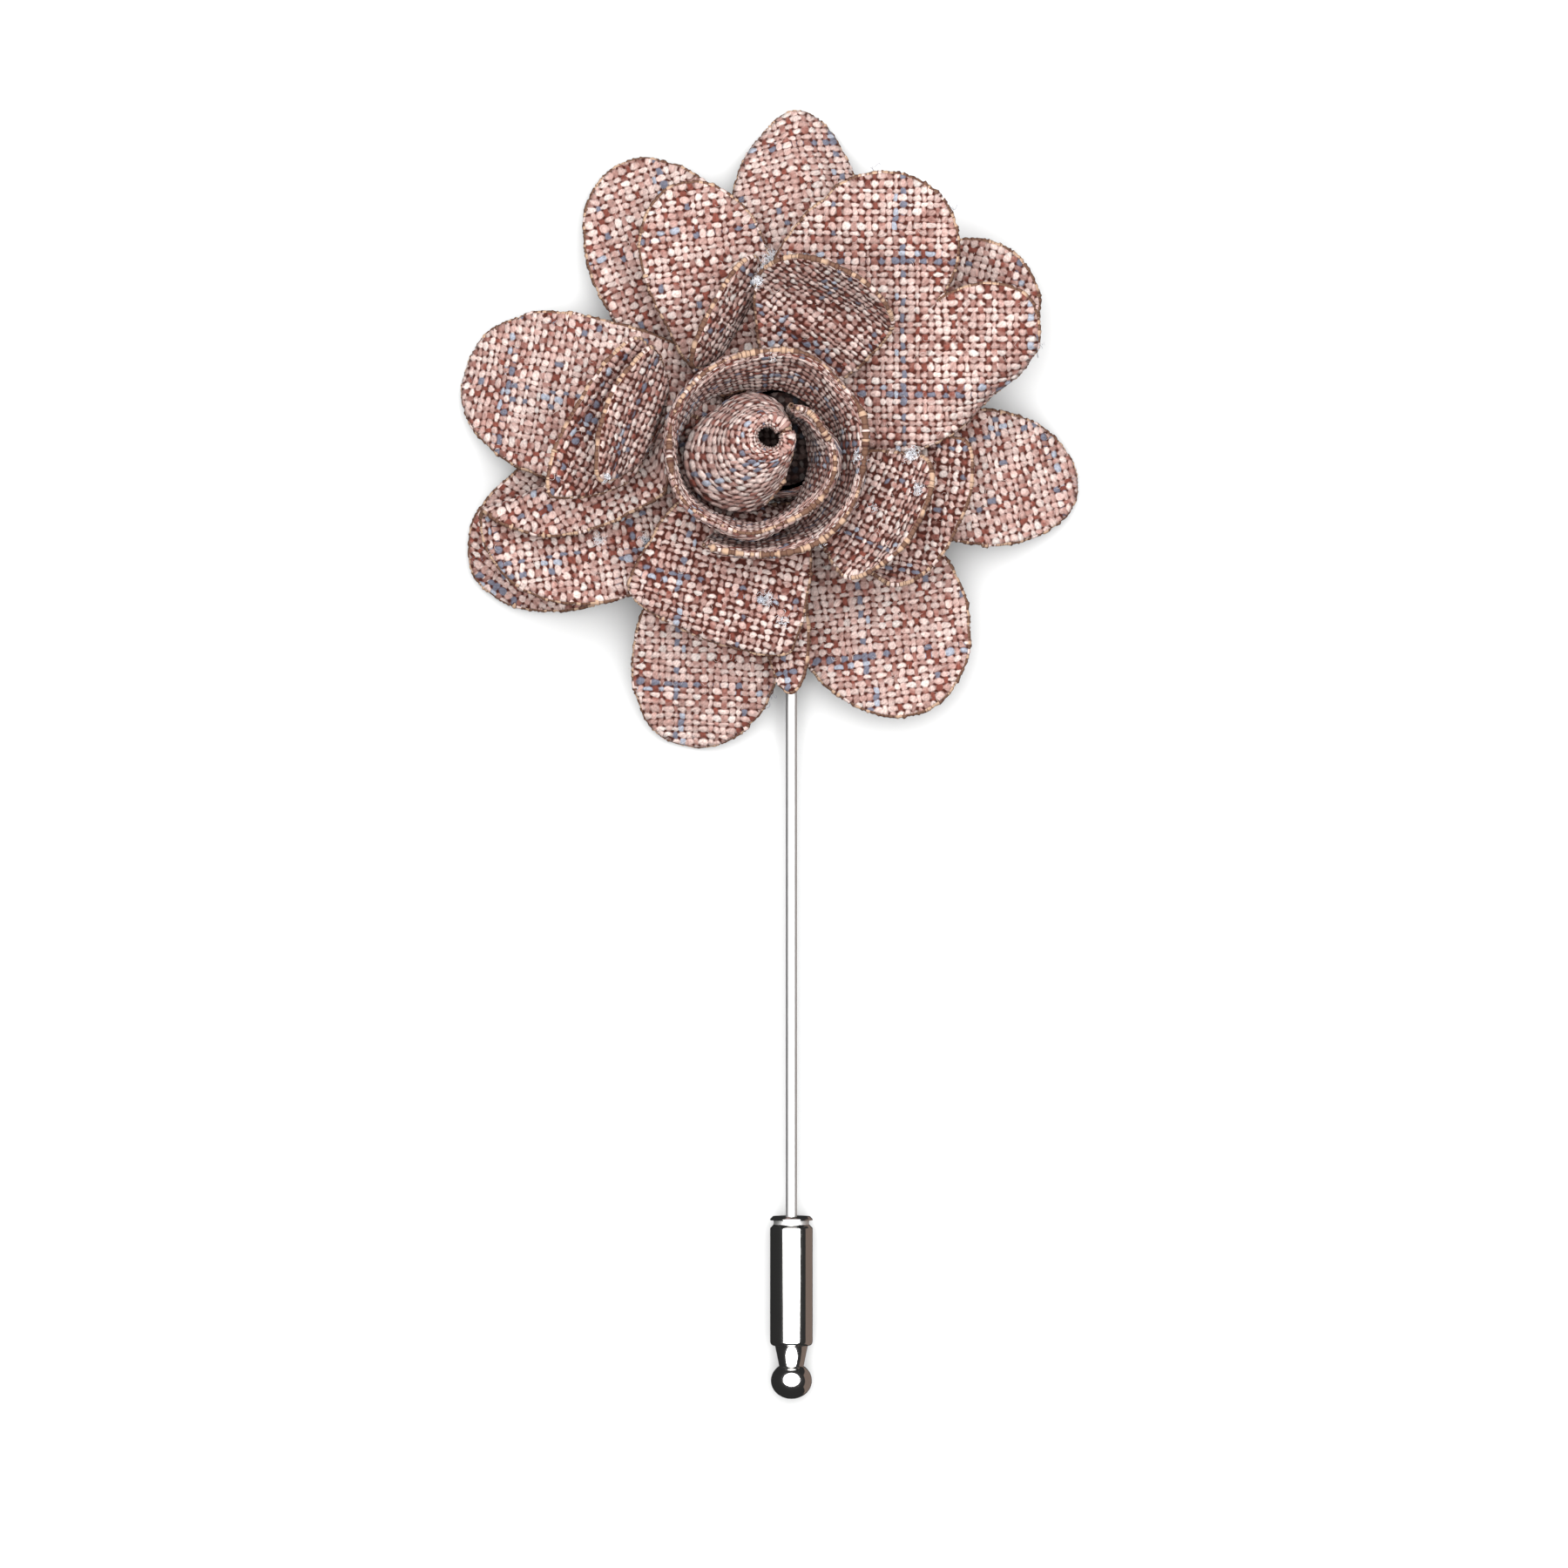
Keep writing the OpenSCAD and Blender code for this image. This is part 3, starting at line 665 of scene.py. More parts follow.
def heart_skin(t, h):
    """The heart with its cloth turned down into the hole."""
    q = h * (1 + HEART_LIP)
    down = np.maximum(q - 1, 0) / HEART_LIP
    turn = clip(down / LIP_TURN) * math.pi / 2
    place = heart_point(t, np.minimum(q, 1) * HEART_CREST)
    hole = np.array([CENTRE[0] - HOLE_LEFT, CENTRE[1]])
    share = 1 - LIP_R * np.sin(turn) / HEART_HOLE
    place[..., :2] = hole + (place[..., :2] - hole) * share[..., None]
    place[..., 2] -= LIP_DROP * (1 - np.cos(turn)) + LIP_DEPTH * np.maximum(down - LIP_TURN, 0)
    return place


def bent_wave(run, rate, start, bend, bend_rate):
    return np.sin(run * rate + start + bend * np.sin(run * bend_rate))


def wrap_skin(t, h):
    """The coil with the unevenness of soft cloth, growing towards its rim."""
    place = wrap_point(t, h)
    run = t * WRAP_CUT[0]
    out = unit(place[..., :2] - np.array([CENTRE[0] - BUD_LEFT, CENTRE[1] - BUD_DOWN]))
    place[..., :2] += out * (SAG_OUT * h * bent_wave(run, *WAVE_OUT))[..., None]
    place[..., 2] += SAG_UP * h * bent_wave(run, *WAVE_UP)
    return place


def frayed(points, seed, size):
    """A cut line that wanders a little and steps from yarn to yarn. Millimetres."""
    along = unit(np.roll(points, -1, 0) - np.roll(points, 1, 0))
    run = np.cumsum(lengths(points - np.roll(points, 1, 0)))
    blend = clip((run[-1] - run) / 2)
    slow, fine = (value_noise(run * 0 + row, run / wave, seed) for row, wave in zip((0.5, 3.5), FRAY_RUNS))
    out = (slow + FRAY_FINE * fine) * blend * size
    return points + np.stack([along[:, 1], -along[:, 0]], -1) * out[:, None]


def rolled_shell(surface, length, height, shift, outward, cloth, seed, edges_at="ends top", crossed=False):
    """The doubled woven sheet of a rolled piece of the bud, and the folds and rims along its edges."""
    pitch = cloth.yarn_pitch / MM
    fold = cloth.doubled / MM / 2
    yarns_u, yarns_v = round(length / pitch), round(height / pitch)
    u, v = np.indices((yarns_u * PER_YARN + 1, yarns_v * PER_YARN + 1)) / PER_YARN
    off_u, off_v = wander(u, v, cloth.wander, seed)
    t = (u + off_u * np.minimum(1, np.minimum(u, yarns_u - u))) / yarns_u
    h = (v + off_v * np.minimum(1, np.minimum(v, yarns_v - v))) / yarns_v

    def normal_at(t, h):
        along = surface(t + TINY, h) - surface(t - TINY, h)
        rising = surface(t, h + TINY) - surface(t, h - TINY)
        return outward * unit(np.cross(along, rising))

    place, normal = surface(t, h), normal_at(t, h)
    place = place + normal * ripple(u * pitch, v * pitch, cloth, seed)
    even = surface(u / yarns_u, v / yarns_v) + normal_at(u / yarns_u, v / yarns_v) * fold
    along, up = lengths(np.diff(even, axis=0)) / pitch, lengths(np.diff(even, axis=1)) / pitch
    narrowing = np.maximum(along.mean(0) / along.mean(), LEAST_NARROWING)[1:]
    u = np.append(0, np.cumsum(along.mean(1)))[:, None] + 0 * u
    v = np.append(0, np.cumsum(up.mean(0) / narrowing)) + 0 * v
    if crossed:
        u, v = v, u
    quads, edges = lattice_faces(np.ones((yarns_u * PER_YARN, yarns_v * PER_YARN), bool))
    if outward < 0:
        quads, edges = quads[:, ::-1], edges[:, ::-1]
    shell = Shell()
    add_sheet(
        shell, place.reshape(-1, 3), normal.reshape(-1, 3),
        (fold + cloth.relief / MM * weave_height(u, v, seed)).ravel(),
        np.stack([u + shift[0], v + shift[1]], -1).reshape(-1, 2), quads, edges)
    steps, ends = int(length / (cloth.rim_step / MM)), int(height / (cloth.rim_step / MM))
    rise = np.linspace(0, 1, ends)
    paths = []
    if "ends" in edges_at:
        paths += [(np.zeros(ends), rise, 0.01, 0, SEAM_LIFT), (np.ones(ends), rise, -0.01, 0, SEAM_LIFT)]
    if "top" in edges_at:
        paths.append((np.linspace(0, 1, steps), np.ones(steps), 0, -0.02, 0))
    for number, (path_t, path_h, back_t, back_h, lift) in enumerate(paths):
        centres, normals = surface(path_t, path_h), normal_at(path_t, path_h)
        rim(shell, centres, normals, False, cloth, seed + number, fold, 0, FOLD_LUMPS)
        beyond = unit(centres - surface(path_t + back_t, path_h + back_h))
        seam = centres + beyond * fold * SEAM_OUT + normals * fold * lift
        seam_r = cloth.rim_radius / MM * SEAM_FULL
        rim(shell, seam, normals, False, cloth, seed + number, seam_r, 1, SEAM_LUMPS, SEAM_BROKEN)
    return shell


def lathe(shell, profile, sides, start, axis, slot=0):
    """A turned solid: profile is a list of (distance along the axis, radius) from end to end."""
    profile = np.array(profile, float)
    turn = np.arange(sides) / sides * TAU
    axis = np.array(axis, float)
    first = unit(np.cross(axis, [1.0, 0, 0] if abs(axis[0]) < 0.9 else [0, 1.0, 0]))
    second = np.cross(axis, first)
    ring = first * np.cos(turn)[:, None] + second * np.sin(turn)[:, None]
    points = np.array(start, float) + profile[:, :1, None] * axis + profile[:, 1:, None] * ring[None]
    faces = np.roll(tube_faces(len(profile), sides)[:, ::-1], 1, 1)
    shell.add(points, faces, points[..., :2] * 2, slot)


def rounded(profile, radius, steps=4):
    """Corners of a turned profile softened by small arcs."""
    points = [np.array(p, float) for p in profile]
    result = [points[0]]
    for before, corner, after in zip(points, points[1:], points[2:]):
        to, fro = before - corner, after - corner
        reach = min(radius, lengths(to) * 0.45, lengths(fro) * 0.45)
        start, end = corner + unit(to) * reach, corner + unit(fro) * reach
        for share in np.arange(steps + 1) / steps:
            result.append(between(between(start, corner, share), between(corner, end, share), share))
    return result + [points[-1]]


def joined(operation):
    """A method that joins two values by a node of the given operation."""
    return lambda self, other: self.graph.math(operation, self, other)


class Wire:
    """A value in a node tree that takes part in a formula like a number."""

    def __init__(self, graph, socket):
        self.graph = graph
        self.socket = socket

    def __rsub__(self, other):
        return self.graph.math("SUBTRACT", other, self)

    __add__ = joined("ADD")
    __sub__ = joined("SUBTRACT")
    __mul__ = joined("MULTIPLY")
    __truediv__ = joined("DIVIDE")
    __lt__ = joined("LESS_THAN")
    __gt__ = joined("GREATER_THAN")


class Graph:
    """Short forms for building a node tree."""

    def __init__(self, tree):
        self.tree = tree
        self.column = 0

    def node(self, kind, inputs=None, **settings):
        node = self.tree.nodes.new(kind)
        node.location = (self.column * 40, 0)
        self.column += 1
        for key, value in settings.items():
            setattr(node, key, value)
        for key, value in (inputs or {}).items():
            self.feed(node.inputs[key], value)
        return node

    def feed(self, socket, value):
        if isinstance(value, Wire):
            value = value.socket
        if isinstance(value, bpy.types.NodeSocket):
            self.tree.links.new(value, socket)
        else:
            socket.default_value = value

    def math(self, operation, *values, clamp=False):
        node = self.node("ShaderNodeMath", dict(enumerate(values)), operation=operation, use_clamp=clamp)
        return Wire(self, node.outputs[0])

    def floor(self, value):
        return self.math("FLOOR", value)

    def wave(self, value):
        """A sine that crosses zero at each whole number."""
        return self.math("SINE", value * math.pi)

    def mix(self, share, first, second, blend="MIX"):
        inputs = {0: share, 6: first, 7: second}
        return self.node("ShaderNodeMix", inputs, data_type="RGBA", blend_type=blend).outputs[2]

    def shaded(self, colour, tone):
        return self.mix(1.0, colour, self.vector(tone, tone, tone), "MULTIPLY")

    def random(self, value, socket="W", dimensions="1D"):
        node = self.node("ShaderNodeTexWhiteNoise", {socket: value}, noise_dimensions=dimensions)
        return Wire(self, node.outputs["Value"])

    def vector(self, x, y, z=0.0):
        return self.node("ShaderNodeCombineXYZ", {"X": x, "Y": y, "Z": z}).outputs[0]

    def split(self, vector):
        outputs = self.node("ShaderNodeSeparateXYZ", {"Vector": vector}).outputs
        return [Wire(self, socket) for socket in outputs]

    def noise(self, vector, scale, detail=2.0, output="Fac"):
        inputs = {"Vector": vector, "Scale": scale, "Detail": detail}
        return Wire(self, self.node("ShaderNodeTexNoise", inputs, noise_dimensions="3D").outputs[output])


def new_group(kind, name, inputs, outputs):
    """An empty node group with named sockets: its graph, and the sockets inside it to read and to feed."""
    tree = bpy.data.node_groups.new(name, kind)
    for side, sockets in (("INPUT", inputs), ("OUTPUT", outputs)):
        for label, socket in sockets.items():
            tree.interface.new_socket(label, in_out=side, socket_type="NodeSocket" + socket)
    graph = Graph(tree)
    given = graph.node("NodeGroupInput").outputs
    return graph, given, graph.node("NodeGroupOutput").inputs


def hair_tree(name, on_faces):
    """Geometry group that grows curled fibres on faces, or one at each point of its input."""
    sockets = {
        "Base": "Geometry", "Density": "Float", "Length": "Float", "Thickness": "Float", "Seed": "Int",
        "Finish": "Material"}
    graph, given, leave = new_group("GeometryNodeTree", name, sockets, {"Fibres": "Geometry"})
    spin = graph.node("FunctionNodeRandomValue", {8: given["Seed"]}, data_type="FLOAT_VECTOR")
    if on_faces:
        spread = {"Mesh": given["Base"], "Density": given["Density"], "Seed": given["Seed"]}
        points = graph.node("GeometryNodeDistributePointsOnFaces", spread)
        least, most = (-FIBRE_LEAN, -FIBRE_LEAN, 0), (FIBRE_LEAN, FIBRE_LEAN, TAU)
    else:
        points = graph.node("GeometryNodeMeshToPoints", {"Mesh": given["Base"]})
        least, most = (0, 0, 0), (TAU, TAU, TAU)
    spin.inputs[0].default_value = least
    spin.inputs[1].default_value = most
    turn = graph.node("FunctionNodeEulerToRotation", {"Euler": spin.outputs[0]}).outputs[0]
    if on_faces:
        both = {"Rotation": points.outputs["Rotation"], "Rotate By": turn}
        turn = graph.node("FunctionNodeRotateRotation", both, rotation_space="LOCAL").outputs[0]
    sizes = {2: FIBRE_SIZES[0], 3: FIBRE_SIZES[1], 8: given["Seed"]}
    size = graph.node("FunctionNodeRandomValue", sizes, data_type="FLOAT")
    size = graph.math("MULTIPLY", size.outputs[1], given["Length"])
    line = graph.node("GeometryNodeCurvePrimitiveBezierSegment", {"Resolution": CURL_STEPS, **CURL})
    radius = graph.math("DIVIDE", given["Thickness"], given["Length"])
    section = {"Resolution": FIBRE_SIDES, "Radius": radius}
    section = graph.node("GeometryNodeCurvePrimitiveCircle", section).outputs[0]
    tube = graph.node("GeometryNodeCurveToMesh", {"Curve": line.outputs[0], "Profile Curve": section})
    copies = graph.node("GeometryNodeInstanceOnPoints", {
        "Points": points.outputs[0], "Instance": tube.outputs[0], "Rotation": turn, "Scale": size})
    whole = graph.node("GeometryNodeRealizeInstances", {"Geometry": copies.outputs[0]})
    done = graph.node("GeometryNodeSetMaterial", {"Geometry": whole.outputs[0], "Material": given["Finish"]})
    graph.feed(leave["Fibres"], done.outputs[0])
    return graph.tree


def grow(name, points, faces, on_faces, density, length, thickness, seed, finish):
    """Runs the fibre group on a plain base and keeps its result as a piece. Base in millimetres."""
    kind = "Fibres on cloth" if on_faces else "Fibres at points"
    tree = bpy.data.node_groups.get(kind) or hair_tree(kind, on_faces)
    base = bpy.data.meshes.new(name + "_base")
    base.from_pydata((points * MM).tolist(), [], faces)
    holder = link(name + "_base", base)
    modifier = holder.modifiers.new("Fibres", "NODES")
    modifier.node_group = tree
    values = {"Density": density, "Length": length, "Thickness": thickness, "Seed": seed, "Finish": finish}
    for item in tree.interface.items_tree:
        if item.in_out == "INPUT" and item.name in values:
            modifier[item.identifier] = values[item.name]
    mesh = bpy.data.meshes.new_from_object(holder.evaluated_get(bpy.context.evaluated_depsgraph_get()))
    bpy.data.objects.remove(holder)
    mesh.name = name
    mesh.materials.clear()
    mesh.materials.append(finish)
    settle(link(name, mesh), "flower", "petal_cloth")


def coarse_sheet(surface, rows, cols):
    """A light grid of a cloth surface, as the ground that its fibres grow on."""
    t, h = np.meshgrid(np.linspace(0, 1, rows), np.linspace(0, 1, cols), indexing="ij")
    return surface(t.ravel(), h.ravel()), lattice_faces(np.ones((rows - 1, cols - 1), bool))[0]


def petal_top(petal, lift):
    """The upper face of a petal as a surface over the unit square."""
    def surface(t, h):
        v = np.sin((h - 0.5) * math.pi) * 0.97
        y = v * petal.half(v)
        place, normal = petal.point(between(petal.root_x(y), petal.tip_x(y), t), y)
        return place + normal * lift
    return surface


def drop_on(points, x, y, reach):
    """Height of the highest cloth within reach of a place, in millimetres."""
    near = np.hypot(points[:, 0] - x, points[:, 1] - y) < reach
    return points[near, 2].max() if near.any() else TABLE_Z


def yarn_colour(graph, index, along, patch, shades, blues, every, seed):
    """Colour of one yarn: spun of several shades, changing along it, with the blue yarns of the check."""
    light, middle, dark = shades
    blue, pale_blue = blues
    own = graph.random(index + seed)
    spot = graph.random(graph.vector(index, graph.floor(along), seed), "Vector", "3D")
    slow = graph.noise(graph.vector(index * 3.7, along, seed), SLOW_SCALE, 3.0)
    shade = (slow - SLOW_MIDDLE) * SLOW_CHANGE + own * OWN_CHANGE + spot * CROSSING_CHANGE + patch
    first = graph.math("MULTIPLY", shade, 2.0, clamp=True)
    second = graph.math("SUBTRACT", shade * 2.0, 1.0, clamp=True)
    colour = graph.mix(second, graph.mix(first, light, middle), dark)
    place = graph.math("FLOORED_MODULO", index, every)
    line = (place < 0.5) * (spot < BLUE_SHOWS)
    beside = graph.math("COMPARE", place, 1.0, 0.4) * (spot < PALE_SHOWS)
    stray = spot * (own + STRAY_BASE) > STRAY_OVER
    colour = graph.shaded(colour, graph.random(spot + index) * TONE_SPREAD + TONE_LEAST)
    colour = graph.mix(graph.math("MAXIMUM", line, stray), colour, blue)
    return graph.mix(beside, colour, pale_blue)


def yarn_height(graph, across, along, crossing, seed):
    """Height of one set of yarns: round, thick and thin along its length, over and under the other set."""
    index = graph.floor(across)
    width = graph.noise(graph.vector(index * 5.3, along, seed), WIDTH_SCALE) * WIDTH_SPREAD + WIDTH_LEAST
    side = (graph.math("FRACT", across) - 0.5) / width * 2.0
    wave = graph.wave(along + index) * crossing
    return (1.0 - side * side) * ROUND_SHARE + wave * CROSSING_SHARE


def weave_group():
    """Plain weave of cream and rust yarns with a blue check and painted shade between the yarns, from
    coordinates in yarns.
    """
    numbers = ("Check every", "Openness", "Contrast", "Cover")
    graph, given, out = new_group(
        "ShaderNodeTree", "Plain weave",
        {"Coordinates": "Vector", **dict.fromkeys(WEAVE_COLOURS, "Color"),
         **dict.fromkeys(numbers, "Float")},
        {"Colour": "Color", "Height": "Float"})
    place, every = given["Coordinates"], given["Check every"]
    cream, peach, rust, mauve, blue, pale_blue, gap = (given[name] for name in WEAVE_COLOURS)
    u, v, _ = graph.split(place)
    stray_u, stray_v, _ = graph.split(graph.noise(place, STRAY_SCALE, 2.0, "Color"))
    u, v = u + (stray_u - 0.5) * STRAY_SIZE, v + (stray_v - 0.5) * STRAY_SIZE
    patch = (graph.noise(place, PATCH_SCALE) - 0.5) * PATCH_CHANGE
    blues = (blue, pale_blue)
    warp = yarn_colour(graph, graph.floor(u), v, patch * 0.5, (cream, peach, mauve), blues, every, 11.3)
    weft = yarn_colour(graph, graph.floor(v), u, patch, (peach, mauve, rust), blues, every, 47.9)
    warp_height = yarn_height(graph, u, v, 1.0, 3.1)
    weft_height = yarn_height(graph, v, u, -1.0, 8.6)
    sharp = (warp_height - weft_height) * CROSSING_SHARP
    over = graph.math("ADD", sharp, given["Cover"], clamp=True)
    dome = graph.math("MAXIMUM", warp_height, weft_height)
    ply = graph.wave(u * PLY_TURNS + v * PLY_TURNS + graph.noise(place, PLY_SCALE) * PLY_STRAY)
    ply = graph.math("ABSOLUTE", ply)
    spot = graph.noise(place, SPECK_SCALE, 3.0)
    # Where the yarns sink, the colour goes over to the gap colour: painted shade in the hollows of the weave
    depth = (graph.noise(place, DEPTH_SCALE) * DEPTH_CHANGE - DEPTH_LESS) * given["Openness"]
    shade = graph.math("MULTIPLY", dome - depth, given["Contrast"], clamp=True)
    fleck = (spot * 0.9 + 0.5) * (ply * 0.26 + 0.84)
    yarns = graph.shaded(graph.mix(over, weft, warp), fleck)
    graph.feed(out["Colour"], graph.mix(shade, gap, yarns))
    graph.feed(out["Height"], dome + ply * 0.14 + spot * 0.3)
    return graph.tree


def rgba(colour):
    return (*colour, 1.0)


def new_material(name, values):
    """A material with the plain values of its shader set, the graph of its nodes, and its shader."""
    material = bpy.data.materials.new(name)
    material.use_nodes = True
    shader = material.node_tree.nodes["Principled BSDF"]
    for label, value in values.items():
        shader.inputs[label].default_value = value
    return material, Graph(material.node_tree), shader


def cloth_material(name, cloth, tint=1.0):
    """Matte plain weave with raised yarns and a faint sheen."""
    material, graph, shader = new_material(name, {
        "Roughness": 0.85, "Specular IOR Level": 0.12, "Sheen Weight": 0.04, "Sheen Roughness": 0.5})
    tree = bpy.data.node_groups.get("Plain weave") or weave_group()
    weave = graph.node("ShaderNodeGroup", node_tree=tree)
    graph.feed(weave.inputs["Coordinates"], graph.node("ShaderNodeUVMap", uv_map=WEAVE_MAP).outputs[0])
    for label in WEAVE_COLOURS:
        colour = getattr(cloth, label.lower().replace(" ", "_"))
        # A tint below one darkens every colour of the weave: painted shade for cloth deep in the bud
        weave.inputs[label].default_value = rgba([tint * channel for channel in colour])
    weave.inputs["Check every"].default_value = cloth.check_every
    for label, value in zip(("Openness", "Contrast", "Cover"), FACES[name]):
        weave.inputs[label].default_value = value
    height = {"Height": weave.outputs["Height"], "Distance": cloth.relief * 0.8, "Strength": 0.8}
    graph.feed(shader.inputs["Base Color"], weave.outputs["Colour"])
    graph.feed(shader.inputs["Normal"], graph.node("ShaderNodeBump", height).outputs[0])
    return material


def rim_material(name, cloth):
    """Sealed yarn ends along the cut edges, tan and golden brown bead by bead."""
    material, graph, shader = new_material(name, {"Roughness": 0.8, "Specular IOR Level": 0.3})
    along, _, _ = graph.split(graph.node("ShaderNodeUVMap", uv_map=WEAVE_MAP).outputs[0])
    along = along * 1.25 + graph.noise(graph.vector(along, 3.0), 0.8, 1.0) * 3.0
    own = graph.random(graph.floor(along))
    colour = graph.mix(own > 0.5, rgba(cloth.rim_dark), rgba(cloth.rim_tan))
    colour = graph.mix(own > 0.88, colour, rgba(cloth.peach))
    # Between the beads the colour goes over to the gap colour: painted shade in the dips of the cut edge
    mottle = graph.noise(graph.vector(along, 9.0), 2.3)
    dip = graph.math("ABSOLUTE", graph.wave(along)) * (mottle + 0.3)
    colour = graph.mix(graph.math("MULTIPLY", dip, 2.0, clamp=True), rgba(cloth.gap), colour)
    graph.feed(shader.inputs["Base Color"], colour)
    fuzz = {"Height": graph.noise(graph.vector(along, 0.0), 6.0), "Distance": 0.00004}
    graph.feed(shader.inputs["Normal"], graph.node("ShaderNodeBump", fuzz).outputs[0])
    return material


def metal_material(name, colour, roughness):
    """Polished plated metal with faint turning marks."""
    material, graph, shader = new_material(name, {"Base Color": rgba(colour), "Metallic": 1.0})
    place = graph.node("ShaderNodeTexCoord").outputs["Object"]
    _, along, _ = graph.split(place)
    rings = graph.noise(graph.vector(along * MARKS, 0.0), 1.0, 1.0) * MARK_CHANGE
    graph.feed(shader.inputs["Roughness"], rings + roughness + graph.noise(place, SMEARS) * MARK_CHANGE)
    return material


def fibre_material(name, first, second):
    """Fine fibres whose colour changes from one to the next."""
    material, graph, shader = new_material(name, {"Roughness": 0.7, "Specular IOR Level": 0.3})
    own = graph.node("ShaderNodeNewGeometry").outputs["Random Per Island"]
    graph.feed(shader.inputs["Base Color"], graph.mix(own, rgba(first), rgba(second)))
    return material


def shared(name, make, *values):
    """A material that is made once and then used again."""
    return bpy.data.materials.get(name) or make(name, *values)


def settle(piece, body, slot, *nodes):
    """Says which body a finished piece rides on and hides the imported parts that it stands for; slot is not
    used.
    """
    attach(piece, body)
    if nodes:
        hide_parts(*nodes)


class ClothSettings(bpy.types.PropertyGroup):
    """Sizes and colours of the woven cloth."""

    thickness: FloatProperty(
        name="Thickness", description="Thickness of the cloth between its yarns", default=0.00044,
        unit="LENGTH", min=0.0003, max=0.0009)
    doubled: FloatProperty(
        name="Doubled", description="Thickness of the doubled cloth of the bud", default=0.00072,
        unit="LENGTH", min=0.0003, max=0.0009)
    yarn_pitch: FloatProperty(
        name="Yarn pitch", description="Distance between neighbouring yarns", default=0.0005, unit="LENGTH",
        min=0.0003, max=0.001)
    wander: FloatProperty(
        name="Wander", description="How far a yarn strays, as a share of the pitch", default=0.2, min=0,
        max=0.45)
    relief: FloatProperty(
        name="Relief", description="How far the yarns stand out of the cloth", default=0.00009,
        unit="LENGTH", min=0.0, max=0.0002)
    ripple: FloatProperty(
        name="Unevenness", description="How far the cloth wanders from a smooth sheet", default=0.0002,
        unit="LENGTH", min=0.0, max=0.0003)
    fray: FloatProperty(
        name="Fray", description="How far the cut edge strays", default=0.0001, unit="LENGTH")
    rim_radius: FloatProperty(
        name="Rim radius", description="Radius of the beaded cut edge", default=0.0002, unit="LENGTH",
        min=0.0001, max=0.0005)
    rim_step: FloatProperty(
        name="Rim step", description="Length of one facet of the cut edge", default=0.000135, unit="LENGTH",
        min=0.00005, max=0.0005)
    check_every: FloatProperty(
        name="Check", description="Yarns from one blue line of the check to the next", default=19.0, min=8,
        max=60)
    cream: FloatVectorProperty(
        name="Cream", description="Light yarn", subtype="COLOR", default=(0.36, 0.315, 0.295))
    peach: FloatVectorProperty(
        name="Peach", description="Light yarn's darker shade", subtype="COLOR", default=(0.37, 0.285, 0.26))
    rust: FloatVectorProperty(
        name="Rust", description="Dark yarn", subtype="COLOR", default=(0.11, 0.031, 0.022))
    mauve: FloatVectorProperty(
        name="Mauve", description="Dark yarn's lighter shade", subtype="COLOR", default=(0.24, 0.145, 0.127))
    blue: FloatVectorProperty(
        name="Blue", description="Blue yarn of the check", subtype="COLOR", default=(0.085, 0.085, 0.11))
    pale_blue: FloatVectorProperty(
        name="Pale blue", description="Pale yarn beside the blue one", subtype="COLOR",
        default=(0.19, 0.2, 0.235))
    # Painted shade: the dark colour put in the hollows between the yarns and between the beads of the cut edge
    gap: FloatVectorProperty(
        name="Gap", description="Colour between the yarns", subtype="COLOR", default=(0.032, 0.006, 0.003))
    bloom_density: FloatProperty(
        name="Bloom density", description="Short fibres on a square metre of cloth", default=700000, min=0)
    bloom_length: FloatProperty(
        name="Bloom length", description="Length of the short fibres", default=0.00055, unit="LENGTH")
    fibre_radius: FloatProperty(
        name="Fibre radius", description="Radius of a fibre", default=0.000011, unit="LENGTH")
    lint: FloatVectorProperty(
        name="Lint", description="White lint", subtype="COLOR", default=(0.62, 0.64, 0.68))
    # Painted shade: the share of the weave's colours that the cloth deep inside the bud keeps
    core_painted_shade: FloatProperty(
        name="Core", description="How much darker the cloth deep inside the bud is", default=0.16, min=0,
        max=1)
    rim_tan: FloatVectorProperty(
        name="Rim tan", description="Light bead of the cut edge", subtype="COLOR",
        default=(0.26, 0.17, 0.115))
    rim_dark: FloatVectorProperty(
        name="Rim brown", description="Dark bead of the cut edge", subtype="COLOR",
        default=(0.08, 0.038, 0.022))


class MetalSettings(bpy.types.PropertyGroup):
    """Colours of the steel pin and its clutch."""

    steel: FloatVectorProperty(
        name="Steel", description="Colour of the plated wire and pad", subtype="COLOR",
        default=(0.80, 0.80, 0.80))
    chrome: FloatVectorProperty(
        name="Chrome", description="Colour of the clutch", subtype="COLOR", default=(0.82, 0.81, 0.80))
    satin: FloatProperty(
        name="Wire roughness", description="Roughness of the plated wire", default=0.42, min=0, max=1)
    polish: FloatProperty(
        name="Roughness", description="Roughness of the polished metal", default=0.07, min=0, max=1)
    sides: IntProperty(
        name="Sides", description="Facets round a turned piece", default=96, min=24, max=256)


